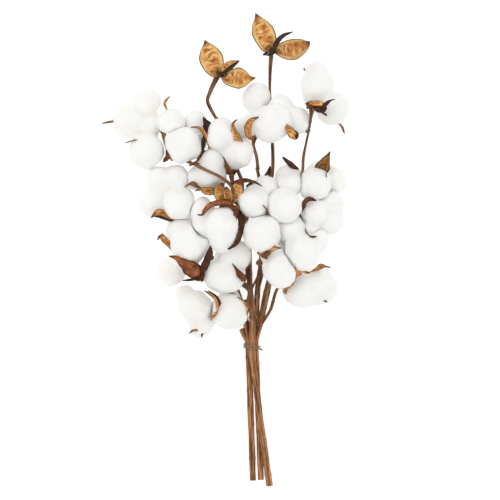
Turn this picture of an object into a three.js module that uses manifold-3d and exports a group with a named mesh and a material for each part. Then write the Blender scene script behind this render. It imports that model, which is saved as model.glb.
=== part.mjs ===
// A bunch of three cut cotton stalks, tied with twine and lying on its side.
// Millimetres. +Y runs from the cut ends to the empty seed pods, +X to the right,
// +Z up from the surface that the bunch lies on. Layout points are measured from
// the middle of the tie, on the surface; the finished group is then centred.

import * as THREE from "three";
import { mergeVertices } from "three/addons/utils/BufferGeometryUtils.js";
import Module from "manifold-3d";

const wasm = await Module();
wasm.setup();

// Driving dimensions
const GAP = 0.35; // clearance that every piece keeps to its neighbours
const STALK_RADIUS = 3.2; // bark radius of a stalk where the twine holds it
const TWIG_RADIUS = 1.6;
const TWIG_SIDES = 5;
const STALK_SIDES = 7;
const RING_SPACING = 16; // along a stalk or a twig
const KNOB_LENGTH = 9; // end of a twig, which thickens towards the burr that it carries
const KNOB_RADIUS = 3;
const CALYX_HEIGHT = 5;
const CALYX_RADIUS = 6.2;
const VALVE_THICKNESS = 1;
const VALVE_FOOT = [1.2, 3.2]; // least and most half-width where a valve leaves the cup
const VALVE_CLEARANCE = 1.2; // of a valve that lies on the cotton, from the locks
// Height over the seat, reach from the axis, and half-width along a short valve
const SHORT_VALVE = [[5, 8.5, 4], [9, 12, 6], [13, 14, 4], [16.5, 13.5, 0.5]];
const CUP_DEPTH = 0.34; // of an empty pod's valve, whose edges stand up from its midline
const FEWEST_VALVES = 3;
const LOCK_FULLNESS = 1.08; // round the listed radius, which is the part that shows
const SMALL_LOCK = 17.5; // below this radius a lock needs fewer facets
const LOCK_STRETCH = 1.1; // length over width of one lock of cotton
const LOCK_WAIST = 0.2; // how much it narrows towards the seat
const LOCK_LUMPS = 0.045; // height of its soft lumps, as a share of its radius
const HEART_PLACE = 0.8; // from the seat towards the middle of the locks
const TWINE_RADIUS = 0.8;
const TWINE_TURNS = 1.8;
const TWINE_PITCH = 2;
const TWINE_TAIL = 3; // free end past the last turn
const FIRST_SEED = 977; // of the draws that shape the locks
const WELD = 1e-4;
const SLIVER = 0.02; // detail finer than this is smoothed away after the cuts

const COLOURS = { cotton: 0xf3f2ee, burr: 0x7a4526, pod: 0xc08a4c, bark: 0x6b4a36, twine: 0x8a6548 };
const ROUGHNESS = { cotton: 1, burr: 0.7, pod: 0.6, bark: 0.85, twine: 0.9 };

// The three stalks. A main limb has a route and a radius for each of its points.
// Stubs are side branches that were pruned, and twiglets are dead thin ones.
const STALKS = {
  left: {
    route: [
      [0.9, -134.7, 3.2], [-0.3, -90, 4.2], [-2, -45, 5.4], [-3.5, 0, 6.6], [-6, 25, 6.8],
      [-16, 58, 8], [-34, 82, 10], [-52, 104, 12], [-66, 125, 12], [-78, 145, 8],
    ],
    radii: [3.1, 3, 3.1, STALK_RADIUS, 3, 2.7, 2.4, 2.1, 1.9, 1.7],
    stubs: [{ route: [[-4, 5, 6.7], [-7.5, 11, 8], [-10.5, 18, 9]], radii: [2.4, 2.4, 2.2] }],
  },
  front: {
    route: [
      [17.7, -140, 3.3], [12.8, -103, 8.8], [8, -70, 11.4], [3.6, -35, 12.6], [0, 0, 12.8],
      [1, 30, 15.5], [-2, 58, 20], [-3, 81, 26], [-3, 98, 32], [-6, 120, 38], [-11, 141, 44],
    ],
    radii: [3.2, 3.1, 3, 3.1, STALK_RADIUS, 3.3, 3, 2.8, 2.6, 2.4, 2.2],
    stubs: [
      { route: [[0.9, 29, 15.4], [0.7, 31.5, 15.8]], radii: [3.9, 3.9] },
      { route: [[-1, 57, 20], [3.5, 66.5, 21.5], [8, 76, 24]], radii: [1.3, 1, 0.8] },
      { route: [[-62, 182, 56], [-57, 184.5, 58.5], [-53, 187, 60]], radii: [1.3, 1.2, 1] },
    ],
  },
  right: {
    route: [
      [9, -134, 3.2], [8, -102, 3.9], [6.6, -70, 4.7], [5, -35, 5.7], [3.5, 0, 6.6], [4.5, 30, 9],
      [6, 60, 13], [9, 84, 20], [10, 110, 23], [11, 140, 25], [8, 165, 28], [5, 180, 31],
    ],
    radii: [3, 3, 3, 3.1, STALK_RADIUS, 3, 2.7, 2.5, 2.3, 2.1, 1.9, 1.7],
    stubs: [
      { route: [[4, 8, 7.2], [9, 27, 10], [13, 47, 14], [17.5, 67, 19]], radii: [2.8, 3.1, 3.2, 3.1] },
      { route: [[6.8, 62, 14], [9.2, 71, 17], [11, 78, 19]], radii: [2.2, 2.1, 2] },
    ],
  },
};

// The bolls. seat is where the burr meets its twig, and each lock is [x, y, z, radius]. A valve
// of the burr follows a line of [x, y, z, half-width] points, and face is the direction that
// its golden inner side looks in. Short valves that aren't listed fill the widest gaps.
const BOLLS = [
  {
    name: "boll_01", stalk: "front", seat: [-15, 139, 62],
    route: [[-7, 124, 39], [-4, 133, 50]],
    locks: [[-31, 122, 65, 15.8], [-50, 138, 50, 12.5], [-47, 121, 52, 13], [-29, 110.5, 60, 13]],
    valves: [
      { face: [0.2, -0.5, -0.84], line: [
        [-24, 145.5, 66, 3.2], [-34, 144.5, 70, 3.4], [-42, 142, 70, 3], [-47.5, 136, 69, 2.2],
        [-49.5, 132.5, 68, 1.4], [-54, 132.5, 67, 0.5],
      ] },
      { face: [-0.5, 0.1, -0.86], line: [
        [-14, 138, 58, 3.6], [-11.5, 126, 63, 4], [-12, 113, 67, 3.4], [-16, 104, 68, 2.4],
        [-24, 98, 68, 0.8],
      ] },
    ],
  },
  {
    name: "boll_02", stalk: "left", seat: [-52, 71, 44], axis: [-0.3, 0.35, 0.89], heart: 15,
    route: [[-40, 89, 11], [-46, 76, 20]],
    locks: [[-62, 104, 50, 18], [-71, 117, 36, 15], [-80.5, 76.5, 14, 14]],
    valves: [
      { face: [0.1, 0.2, -0.97], line: [
        [-52, 72, 50, 6.5], [-60, 78, 57, 8.2], [-68, 84.5, 60, 5.6], [-75, 89.5, 60, 2.6],
        [-83, 91.5, 58, 0.5],
      ] },
      { face: [-0.4, 0.3, -0.86], line: [
        [-49, 76, 52, 4], [-45.5, 85, 57, 4.2], [-42, 94, 62, 3.6], [-41, 102, 62, 0.8],
      ] },
      { face: [0, 0, -1], line: [[-57, 68.5, 53, 1.6], [-64, 67.5, 52, 1.2], [-69.5, 67, 50, 0.4]] },
      { face: [0.5, -0.2, 0.84], line: [
        [-82, 102.5, 42, 3], [-88, 108, 46, 3.4], [-91, 112.5, 45, 2.2], [-94.5, 107.5, 43, 0.6],
      ] },
    ],
  },
  {
    name: "boll_03", stalk: "right", seat: [13, 90, 46], heart: 13,
    route: [[9, 82, 19.5]],
    locks: [[11, 113, 60, 18.2], [26.5, 77.5, 57, 16], [30, 98, 36, 12]],
    valves: [
      { face: [0.1, -0.5, 0.86], line: [
        [15, 93, 62, 3], [17, 97, 67, 3.4], [22, 99.5, 70, 2.6], [29, 99.5, 72, 0.6],
      ] },
      { face: [0.6, 0, 0.8], line: [[11, 92, 60, 2.4], [5, 95, 61, 0.8]] },
      { face: [0, 0.2, -1], line: [[13, 90, 60, 3.6], [14.5, 95, 66, 3.2], [16, 98, 68, 1]] },
    ],
  },
  {
    name: "boll_04", stalk: "right", seat: [27, 158, 27],
    route: [[10, 145, 25.5]],
    locks: [[32, 142, 60, 17], [38, 163, 46, 12], [36, 169, 33, 12]],
    valves: [
      { face: [0.5, 0, -0.86], line: [[19, 147, 46, 1.8], [14.5, 139, 66, 2], [11, 142, 75, 0.8]] },
      { face: [0.5, 0.3, -0.8], line: [[20, 143, 48, 1.4], [17, 135, 66, 1.6], [13, 132.5, 73, 0.8]] },
    ],
  },
  {
    name: "boll_05", stalk: "right", seat: [-4, 154, 35],
    route: [[10.5, 132, 24.5], [0, 142, 25]],
    locks: [[3, 145, 58, 15.5], [14, 159, 46, 12.5]],
    valves: [
      { face: [0.1, 0.75, -0.65], line: [
        [-16, 155, 50, 3.2], [-17, 162, 58, 3.6], [-8, 166.5, 64, 3.4], [2, 165, 67, 2],
        [10, 161, 68, 0.5],
      ] },
      { face: [0, 0.1, -1], line: [[13.5, 168, 30, 3.6], [16.5, 174, 24, 3], [18.3, 182, 23.5, 0.5]] },
    ],
  },
  {
    name: "boll_06", stalk: "front", seat: [-90, 222, 15], heart: 15,
    route: [
      [-11, 140, 43.5], [-17, 153, 56], [-22, 163, 63], [-32, 170.5, 66], [-45, 176.5, 64],
      [-57.5, 183, 57], [-67, 187, 46], [-79, 196, 25],
    ],
    locks: [[-105, 246, 33, 13], [-119, 227, 18.5, 19], [-105, 197, 36, 17], [-81, 225, 42, 12.5]],
    valves: [
      { face: [0.8, 0.2, 0.6], line: [
        [-80, 189, 34, 2.4], [-82, 192, 44, 3], [-84, 198, 48, 2.2], [-87, 206, 50, 0.6],
      ] },
      { face: [0.3, -0.3, -0.9], line: [
        [-84, 191, 44, 2.6], [-87, 187.5, 47, 2.2], [-88.5, 185.5, 46, 0.8],
      ] },
      { face: [0.2, 1, 0.15], line: [
        [-104, 211, 22, 1.6], [-111, 209.5, 42, 1.8], [-119, 207, 46, 1.7], [-127, 204.5, 38, 0.5],
      ] },
      { face: [0, -0.3, 0.95], line: [
        [-136, 227, 24, 1.2], [-143, 226, 25, 1.2], [-150.5, 224.5, 23, 0.5],
      ] },
      { face: [-0.6, 0.3, 0.75], line: [
        [-85.5, 238, 44, 1.8], [-87, 244.5, 48, 2.2], [-82, 251, 50, 0.5],
      ] },
    ],
  },
  {
    name: "boll_07", stalk: "front", seat: [-52, 191, 46],
    route: [[-60, 184, 55]],
    locks: [[-68, 203, 49, 17], [-56, 225, 34, 10.5], [-58, 208, 28, 14]],
    valves: [
      { face: [0.55, 0.2, 0.81], line: [
        [-42.5, 199, 50, 2], [-44.5, 208, 56, 2.4], [-49.5, 216.5, 58, 2], [-54, 219.5, 59, 1.2],
        [-61, 219.8, 58, 0.5],
      ] },
      { face: [0, 0, -1], line: [
        [-45, 216, 52, 3.2], [-44.5, 221.5, 55, 4.8], [-47, 226.5, 55, 2.2], [-48.5, 230, 53, 0.5],
      ] },
    ],
  },
  {
    name: "boll_08", stalk: "front", seat: [-20.5, 173, 43],
    route: [[-11, 140, 43.5], [-18, 156, 44]],
    locks: [[-31.5, 212, 55, 13.5], [-14.5, 193.5, 47, 14.5], [-30, 217, 33, 11.5]],
    valves: [
      { face: [-0.3, -0.3, 0.9], line: [
        [-13.5, 203, 55, 4.5], [-16, 210, 62, 5.4], [-18, 217, 66, 2.4], [-19, 223, 66, 1.4],
        [-15, 227.5, 62, 0.5],
      ] },
      { face: [0.8, 0.3, 0.5], line: [
        [-21.5, 176, 56, 2.4], [-24.5, 182, 58, 2], [-28.5, 190, 60, 0.6],
      ] },
    ],
  },
  {
    name: "boll_09", stalk: "front", seat: [-34, 155, 36],
    route: [[-11, 140, 43.5], [-20, 147, 40]],
    locks: [[-41, 173, 45, 15], [-54, 169, 40, 12], [-38, 186.5, 46, 10.5], [-42, 178, 24, 13]],
    valves: [
      { face: [0.1, 0.4, 0.9], line: [
        [-52, 160, 52, 2], [-59, 163.5, 55, 2.6], [-63, 163, 54, 1], [-67.5, 160.5, 51, 0.4],
      ] },
      { face: [0, -0.3, 0.95], line: [
        [-34, 154, 54, 3], [-39, 156, 58, 4], [-46, 156.5, 59, 4], [-51, 158, 58, 2],
        [-57, 156.5, 57, 0.5],
      ] },
    ],
  },
  {
    name: "boll_10", stalk: "left", seat: [-84, 157, 13],
    route: [[-78, 144, 8.2]],
    locks: [[-92, 167, 33, 13], [-75, 168, 36, 14], [-73, 144, 46, 16], [-98, 145, 30, 14]],
    valves: [
      { face: [0.3, 0.55, 0.78], line: [
        [-80, 129.5, 42, 3], [-87, 133, 48, 5], [-93, 135, 50, 4.4], [-97, 133, 50, 2.2],
        [-101, 129.5, 48, 0.5],
      ] },
      { face: [0, 0.4, -0.9], line: [
        [-79, 127.5, 44, 1.4], [-86, 128.5, 48, 1.6], [-92, 130.5, 50, 1.3], [-98, 131, 49, 0.4],
      ] },
    ],
  },
  {
    name: "boll_11", stalk: "front", seat: [-9, 64, 31],
    route: [[0.8, 31, 15.6], [-4, 45, 22]],
    locks: [[-28, 71, 37, 17.5], [-18, 91, 36, 15.5], [-26, 86, 20, 13]],
    valves: [
      { face: [0, 0.2, -0.98], line: [
        [-8, 69, 50, 3], [-12, 73, 54, 3.2], [-16, 79, 54, 1.3], [-19.5, 84, 53, 0.4],
      ] },
    ],
  },
  {
    name: "boll_12", stalk: "left", seat: [-38, 38, 11],
    route: [[-5.5, 22, 6.8], [-20, 30, 5.5]],
    locks: [[-56.3, 40.5, 29, 17], [-66, 53.5, 20, 9.5], [-51.5, 24, 23, 12]],
    valves: [
      { face: [-0.8, 0, 0.6], line: [
        [-41, 29, 42, 1.4], [-35.5, 36, 44, 2.6], [-34.5, 44.5, 45, 2.8], [-39.5, 52, 45, 2.2],
        [-48, 57, 43, 0.5],
      ] },
      { face: [-0.3, 0, -0.95], line: [
        [-37, 31, 40, 1], [-33, 37, 42, 1.6], [-32.5, 45, 43, 1.7], [-36.5, 52, 44, 1],
        [-44, 57, 44, 0.4],
      ] },
      { face: [0.2, 0.5, 0.8], line: [[-55, 17.5, 34, 1.1], [-59, 17, 36, 1.2], [-63, 14, 33, 0.4]] },
      { face: [0, 0.5, 0.8], line: [[-50, 12.5, 33, 1.1], [-50.5, 9.5, 32, 0.4]] },
    ],
  },
  {
    name: "boll_13", stalk: "left", seat: [-11, 44, 12],
    route: [[-5, 18, 7], [-6, 29, 8]],
    locks: [[-23.5, 36, 27, 17.5], [-22, 47, 12, 12.5]],
    valves: [
      { face: [-0.6, -0.1, 0.78], line: [[-6, 33, 34, 1.6], [-5.5, 42, 37, 2], [-14.5, 50.5, 37, 0.5]] },
    ],
  },
  {
    name: "boll_14", stalk: "right", seat: [54, 169, 23],
    route: [[10, 130, 24.5], [30, 143, 21]],
    locks: [[63, 163, 42, 16], [80.5, 167, 23, 12.5], [67, 175, 20, 13]],
    valves: [
      { face: [0.1, -0.3, 0.95], line: [
        [66, 172, 34, 6.5], [70, 180, 41, 7.6], [73.5, 187, 44, 4.8], [76, 192, 45, 2],
        [78, 196, 45, 0.5],
      ] },
      { face: [0.1, 0.1, -0.98], line: [
        [46, 173, 30, 1.8], [45, 177, 38, 2.3], [40.5, 181.5, 45, 2.8], [36, 185, 48, 2.4],
        [30.5, 190.5, 46, 0.8],
      ] },
      { face: [1, 0, 0.2], line: [[74.5, 169, 51, 1], [74.3, 172, 52, 1.2], [74, 176, 49, 0.5]] },
    ],
  },
  {
    name: "boll_15", stalk: "right", seat: [47, 133, 30],
    route: [[10, 112, 23], [28, 124, 21]],
    locks: [[62, 136, 46, 12.5], [75, 141.5, 31, 15], [75, 127, 31, 14.5], [58, 117, 38, 11]],
    valves: [
      { face: [0.3, -0.4, -0.86], line: [
        [51.5, 138, 52, 1.8], [52, 145, 58, 3], [57, 148.5, 61, 2.8], [64, 146.5, 62, 0.6],
      ] },
      { face: [0.2, 0.3, -0.93], line: [
        [57, 111.5, 60, 1], [60.5, 110.5, 62, 1.3], [64.5, 111, 60, 0.5],
      ] },
    ],
  },
  {
    name: "boll_16", stalk: "right", seat: [48, 106, 23],
    route: [[9.3, 92, 21], [28, 99, 14]],
    locks: [[50, 96, 53, 18], [62, 107, 38, 13.5], [39, 120, 48, 14]],
    valves: [],
  },
  {
    name: "boll_17", stalk: "right", seat: [36, 59.5, 29],
    route: [[4.5, 14, 7.6], [11, 25, 11], [18.5, 37.5, 17]],
    locks: [[50, 57, 27, 16.5], [67, 60, 23, 16.8]],
    valves: [
      { face: [-0.1, -0.3, 0.94], line: [
        [43, 72, 48, 3.2], [46, 77, 55, 5], [50, 78.5, 56, 3.6], [54, 75.5, 54, 1.8],
        [58, 74.5, 52, 0.5],
      ] },
      { face: [0, -0.5, 0.86], line: [
        [64, 78, 30, 2], [70, 81.5, 36, 3], [73.5, 81, 37, 1.2], [79, 80, 36, 0.5],
      ] },
      { face: [0.7, -0.4, 0.6], line: [[33.5, 57, 38, 3.4], [37, 62.5, 43, 3.6], [44.5, 71, 47, 0.8]] },
      { face: [0, 0.3, 0.95], line: [
        [66, 50, 20, 0.8], [71.5, 47.3, 30, 0.9], [73.6, 46.2, 35.8, 1], [75.6, 45.4, 35.4, 0.3],
      ] },
    ],
  },
  {
    name: "boll_18", stalk: "right", seat: [3, 212, 42], heart: 13,
    route: [[6, 178, 30.6], [4.5, 191, 34]],
    locks: [[-5, 221, 46, 10.5], [20, 223.8, 58, 18], [5, 249, 38, 14]],
    valves: [
      { face: [0.6, -0.1, 0.79], line: [
        [-1, 208.5, 52, 2], [-4, 214, 58, 3.8], [-4.5, 220, 62, 4.6], [-1.5, 226.5, 65, 3.2],
        [6.5, 229.5, 71, 0.6],
      ] },
    ],
  },
  {
    name: "boll_19", stalk: "right", seat: [48, 222, 31],
    route: [[57, 217, 39]],
    locks: [[42, 226.5, 40, 14.2], [28.5, 238.5, 44, 13.5], [36, 231, 26, 12]],
    valves: [
      { face: [0.2, -0.3, 0.93], line: [
        [43.5, 208.5, 54, 1.3], [41, 211.5, 61, 4.2], [38, 216, 66, 3.8], [34, 220.5, 71, 2],
        [29.5, 224, 74, 0.4],
      ] },
      { face: [-0.3, 0.2, -0.93], line: [
        [45, 209, 57, 1.4], [44.6, 213, 61, 1.8], [42.8, 216.5, 64, 0.4],
      ] },
    ],
  },
  {
    name: "boll_20", stalk: "right", seat: [60, 239, 41], axis: [0.12, 0.9, -0.42],
    route: [
      [10.5, 132, 24.5], [30, 139, 25], [43, 154, 31], [50, 172, 37], [51.5, 190, 38], [54.5, 206, 39],
      [57.8, 222, 40],
    ],
    radii: [1.6, 1.6, 1.6, 1.5, 1.4, 1.2, 1.1],
    locks: [[64.5, 260.5, 34, 17], [81.5, 240, 15.5, 16], [66, 251, 19, 14], [64, 275, 32, 9.5]],
    valves: [
      { face: [0, -0.4, 0.9], line: [
        [58.5, 243.4, 49, 1.6], [61, 243.8, 53, 2.4], [64.5, 244, 54, 2.7], [69, 243.6, 54, 2.3],
        [73, 242.6, 52, 0.8],
      ] },
      { face: [0.1, 0.4, -0.9], line: [
        [65, 240, 48, 1.4], [70.5, 239.5, 52, 2], [74.3, 243.5, 55, 2], [78.5, 246.6, 55, 0.9],
        [82.5, 247.6, 53, 0.4],
      ] },
      { face: [0.3, 0.4, -0.86], line: [
        [63.5, 237.5, 47, 1.2], [66.5, 235.8, 51, 1.6], [71, 236.3, 53, 2], [74.5, 239.5, 54, 0.8],
      ] },
      { face: [0.6, 0, 0.8], line: [[56, 274, 26, 1.4], [54, 277.5, 28, 1.6], [51.5, 279.5, 28, 0.5]] },
      { face: [0, 0.3, 0.95], line: [[90, 222, 18, 1.4], [91.5, 218.5, 20, 1.3], [93, 214.5, 16, 0.5]] },
    ],
  },
];

// The empty pods, whose valves lie open
const PODS = [
  {
    name: "pod_left", stalk: "front", seat: [-32, 273, 45], axis: [0.1, 0.05, 1],
    route: [
      [-11, 140, 43.5], [-10, 165, 46], [-14.5, 178, 42], [-18, 196, 33], [-25, 214, 35],
      [-33, 225, 44], [-41, 238, 43], [-44.5, 247, 41], [-42.5, 254, 41], [-36, 268, 41],
    ],
    radii: [1.8, 1.8, 1.7, 1.6, 1.6, 1.7, 1.7, 1.8, 2, 2.8],
    valves: [
      { face: [0.1, 0.05, 1], line: [
        [-34, 273.6, 46, 4.5], [-35.5, 275, 46.6, 7], [-37.5, 279, 48, 9.8], [-39.3, 283.7, 48, 11.6],
        [-42, 291, 48, 11.7], [-44.3, 298.5, 49, 8], [-45.8, 303, 50, 3.6], [-47, 306.8, 51, 0.5],
      ] },
      { face: [0, 0.15, 1], line: [
        [-29, 271.5, 46, 3.6], [-26.5, 270.5, 47, 6], [-23.5, 269.6, 48, 8], [-19.5, 269, 48, 9.4],
        [-12.5, 268.6, 48, 10.8], [-5, 268.2, 49, 7.2], [-1, 268.4, 50, 3], [3.5, 269.2, 51, 0.5],
      ] },
      { face: [-0.3, 0.6, 0.74], line: [
        [-30, 276.5, 50, 3.6], [-25, 280.5, 54, 4.6], [-19.5, 283.2, 57, 3.8], [-13, 285.5, 60, 0.6],
      ] },
      { face: [-0.4, 0.8, -0.45], line: [
        [-30, 273, 53, 2.6], [-25.5, 275.3, 57, 3], [-20, 279.5, 60, 3.2], [-12.5, 286, 62, 0.6],
      ] },
    ],
  },
  {
    name: "pod_right", stalk: "right", seat: [20, 295, 46], axis: [0.02, 0.16, 1],
    route: [
      [10.5, 136, 24.7], [17, 155, 24], [20.5, 175, 28], [20.5, 205, 34], [19, 238, 35], [18, 252, 39],
      [18, 273, 42], [19, 290, 42],
    ],
    radii: [1.8, 1.8, 1.8, 1.7, 1.5, 1.4, 1.6, 2.2],
    valves: [
      { face: [0.1, 0, 1], line: [
        [18, 297.6, 47, 5], [17.3, 299, 47.5, 7], [15.6, 303, 49, 9.4], [13.2, 309.5, 49, 11],
        [10, 316.5, 49, 11.3], [7, 324.5, 50, 7.3], [5.3, 329.5, 51, 3.3], [3.5, 333.5, 52, 0.5],
      ] },
      { face: [0, -0.1, 1], line: [
        [24, 297, 47, 3.6], [26, 297.2, 48, 5.4], [29, 297.2, 49, 7.4], [33.6, 297.1, 49, 9.4],
        [41.5, 298, 49, 10.5], [49.5, 301, 50, 8], [54.5, 303, 51, 4.6], [57.8, 305.3, 52, 0.5],
      ] },
      { face: [-0.5, 0.7, -0.5], line: [
        [22.3, 298.2, 53, 2.8], [25.8, 305, 57, 4], [31.5, 310.5, 60, 3.6], [40.5, 314.8, 62, 0.5],
      ] },
      { face: [0, 0.3, -1], line: [[16, 296, 45.5, 1.4], [13.5, 293.5, 44, 1.5], [11.3, 292.5, 42, 1]] },
    ],
  },
  {
    name: "pod_centre", stalk: "front", seat: [-16, 150, 49], axis: [-0.15, 0.3, 0.94],
    route: [[-10, 138, 43], [-14, 146, 44]],
    radii: [1.8, 2.2],
    valves: [
      { face: [0.45, -0.1, 0.88], line: [
        [-24, 146.5, 53, 4.6], [-28.5, 149, 58, 7], [-31.5, 154, 60, 8], [-31.5, 160, 61, 6],
        [-28.5, 164, 62, 1.4],
      ] },
      { face: [-0.35, -0.1, 0.93], line: [
        [-19.5, 148, 53, 4.5], [-16.5, 152, 58, 6], [-14.5, 157, 61, 6.4], [-13.6, 161.5, 62, 5.2],
        [-12.6, 165, 62, 1.6],
      ] },
      { face: [0.1, -0.2, 0.97], line: [
        [-22, 144.5, 60, 3.2], [-23.5, 149, 63, 4.6], [-24.3, 153.5, 65, 4.4], [-25.3, 157.5, 65.5, 3],
        [-26, 160.5, 65, 0.8],
      ] },
    ],
  },
];

const point = (p) => new THREE.Vector3(p[0], p[1], p[2]);
const clamp = THREE.MathUtils.clamp;
const lerp = THREE.MathUtils.lerp;

// A closed geometry as a solid that can be joined and cut.
function solidOf(geometry) {
  const bare = geometry.index ? geometry.toNonIndexed() : geometry.clone();
  bare.deleteAttribute("normal");
  bare.deleteAttribute("uv");
  const merged = mergeVertices(bare, WELD);
  return new wasm.Manifold(
    new wasm.Mesh({
      numProp: 3,
      vertProperties: merged.attributes.position.array,
      triVerts: new Uint32Array(merged.index.array),
    }),
  );
}

function geometryOf(solid) {
  const mesh = solid.getMesh();
  return new THREE.BufferGeometry()
    .setAttribute("position", new THREE.BufferAttribute(mesh.vertProperties, 3))
    .setIndex(new THREE.BufferAttribute(mesh.triVerts, 1));
}

const join = (solids) => solids.reduce((whole, s) => whole.add(s));
const largestBody = (solid) => solid.decompose().sort((a, b) => b.volume() - a.volume())[0].simplify(SLIVER);

// Moves every vertex of a geometry by a function of its place.
function shape(geometry, place) {
  const positions = geometry.attributes.position;
  const from = new THREE.Vector3();
  for (let i = 0; i < positions.count; i++) {
    const to = place(from.fromBufferAttribute(positions, i));
    positions.setXYZ(i, to.x, to.y, to.z);
  }
  return geometry;
}

// Same draws in every run.
function seededRandom(seed) {
  let state = seed >>> 0;
  return () => {
    state = (state * 1664525 + 1013904223) >>> 0;
    return state / 2 ** 32;
  };
}

// Planes across a chain of points: each halves the angle between the stretches beside it.
function frames(points) {
  const chord = (i) => points[i + 1].clone().sub(points[i]).normalize();
  const last = points.length - 1;
  let side = new THREE.Vector3(0.31, 0.17, 0.94);
  return points.map((p, i) => {
    const tangent = i === 0 ? chord(0) : i === last ? chord(last - 1) : chord(i - 1).add(chord(i));
    tangent.normalize();
    side = side.clone().addScaledVector(tangent, -side.dot(tangent)).normalize();
    return { p, tangent, side, other: tangent.clone().cross(side) };
  });
}

// A stem of any taper: a capped cylinder bent along a curve.
function limb(route, radii, sides, grow) {
  const curve = new THREE.CatmullRomCurve3(route.map(point), false, "centripetal");
  const rings = Math.max(2, Math.round(curve.getLength() / RING_SPACING));
  const planes = frames(curve.getSpacedPoints(rings));
  return solidOf(
    shape(new THREE.CylinderGeometry(1, 1, 1, sides, rings), (v) => {
      const ring = Math.round((0.5 - v.y) * rings);
      const at = curve.getUtoTmapping(ring / rings) * (radii.length - 1);
      const low = Math.min(Math.floor(at), radii.length - 2);
      const radius = lerp(radii[low], radii[low + 1], at - low) + grow;
      const end = ring === 0 ? -grow : ring === rings ? grow : 0;
      return planes[ring].p
        .clone()
        .addScaledVector(planes[ring].side, v.x * radius)
        .addScaledVector(planes[ring].other, v.z * radius)
        .addScaledVector(planes[ring].tangent, end);
    }),
  );
}

// The cup under the valves, with a flat underside at the seat.
function calyx(seat, axis, grow) {
  const profile = [
    [0, -grow], [KNOB_RADIUS + 0.6 + grow, -grow],
    [CALYX_RADIUS + grow, CALYX_HEIGHT * 0.7], [0, CALYX_HEIGHT + grow],
  ].map(([r, h]) => new THREE.Vector2(r, h));
  const turn = new THREE.Quaternion().setFromUnitVectors(new THREE.Vector3(0, 1, 0), axis);
  const geometry = new THREE.LatheGeometry(profile, TWIG_SIDES).applyQuaternion(turn);
  return solidOf(geometry.translate(seat.x, seat.y, seat.z));
}

// A curved leaf of even thickness: a flat box laid along a midline from the cup to its point.
// Its inner side looks along the axis in the cup, and along the valve's face from there on.
function blade(valve, axis, size, grow) {
  const curve = new THREE.CatmullRomCurve3(valve.line.map(point), false, "centripetal");
  const last = valve.line.length - 1;
  return solidOf(
    shape(new THREE.BoxGeometry(1, 1, 1, size.across, size.along, 1), (v) => {
      const u = clamp(v.y + 0.5, 0, 1);
      const t = curve.getUtoTmapping(u);
      const low = Math.min(Math.floor(t * last), last - 1);
      const halfWidth = lerp(valve.line[low][3], valve.line[low + 1][3], t * last - low);
      const s = v.x * 2;
      const tangent = curve.getTangent(t);
      const inward = axis.clone().lerp(valve.face, Math.min(1, t * last) ** 2);
      inward.addScaledVector(tangent, -inward.dot(tangent)).normalize();
      const side = tangent.clone().cross(inward);
      const depth = size.cup * halfWidth * s * s + (v.z > 0 ? grow : -VALVE_THICKNESS - grow);
      const end = u === 0 ? -grow : u === 1 ? grow : 0;
      return curve
        .getPoint(t)
        .addScaledVector(side, s * (halfWidth + grow))
        .addScaledVector(inward, depth)
        .addScaledVector(tangent, end);
    }),
  );
}

// A valve whose back is seen lies on the cotton: the points of its line move out of the locks.
function onCotton(line, locks) {
  return line.map((p) => {
    const moved = point(p);
    for (const l of locks) {
      const least = l[3] * LOCK_FULLNESS + VALVE_CLEARANCE;
      const from = moved.clone().sub(point(l));
      if (from.length() < least) moved.copy(point(l)).addScaledVector(from.normalize(), least);
    }
    return [...moved.toArray(), p[3]];
  });
}

// All valves of a head, each with its foot in the cup: the listed ones, and short ones in the
// widest gaps round the axis until there are as many as wanted.
function allValves({ seat, axis, locks, valves }, wanted) {
  const across = new THREE.Vector3(1, 0, 0).cross(axis).normalize();
  const other = axis.clone().cross(across);
  const all = valves.map(({ line, face }) => ({
    line: locks && face[2] < 0 ? onCotton(line, locks) : line,
    face: point(face).normalize(),
  }));
  const angles = all.map(({ line }) => {
    const away = point(line[0]).sub(seat);
    return Math.atan2(away.dot(other), away.dot(across));
  });
  while (all.length < wanted) {
    const sorted = angles.length ? [...angles].sort((a, b) => a - b) : [0.6];
    const gaps = sorted.map((a, i) => (sorted[i + 1] ?? sorted[0] + 2 * Math.PI) - a);
    const widest = gaps.indexOf(Math.max(...gaps));
    const angle = sorted[widest] + gaps[widest] / 2;
    angles.push(Math.atan2(Math.sin(angle), Math.cos(angle)));
    const out = across.clone().multiplyScalar(Math.cos(angle)).addScaledVector(other, Math.sin(angle));
    const line = SHORT_VALVE.map(([up, away, halfWidth]) => [
      ...seat.clone().addScaledVector(axis, up).addScaledVector(out, away).toArray(),
      halfWidth,
    ]);
    all.push({ line, face: axis.clone().multiplyScalar(0.5).sub(out).normalize() });
  }
  return all.map(({ line, face }) => {
    const out = point(line[0]).sub(seat);
    out.addScaledVector(axis, -out.dot(axis)).setLength(CALYX_RADIUS * 0.55);
    const foot = seat.clone().addScaledVector(axis, CALYX_HEIGHT * 0.5).add(out);
    return { line: [[...foot.toArray(), clamp(line[0][3], ...VALVE_FOOT)], ...line], face };
  });
}

// A burr: the calyx and its valves, as one body.
function burr(head, grow) {
  const size = head.locks ? { cup: 0, across: 1, along: 6 } : { cup: CUP_DEPTH, across: 2, along: 6 };
  const pieces = [calyx(head.seat, head.axis, grow)];
  for (const valve of head.allValves) pieces.push(blade(valve, head.axis, size, grow));
  return join(pieces);
}

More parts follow.
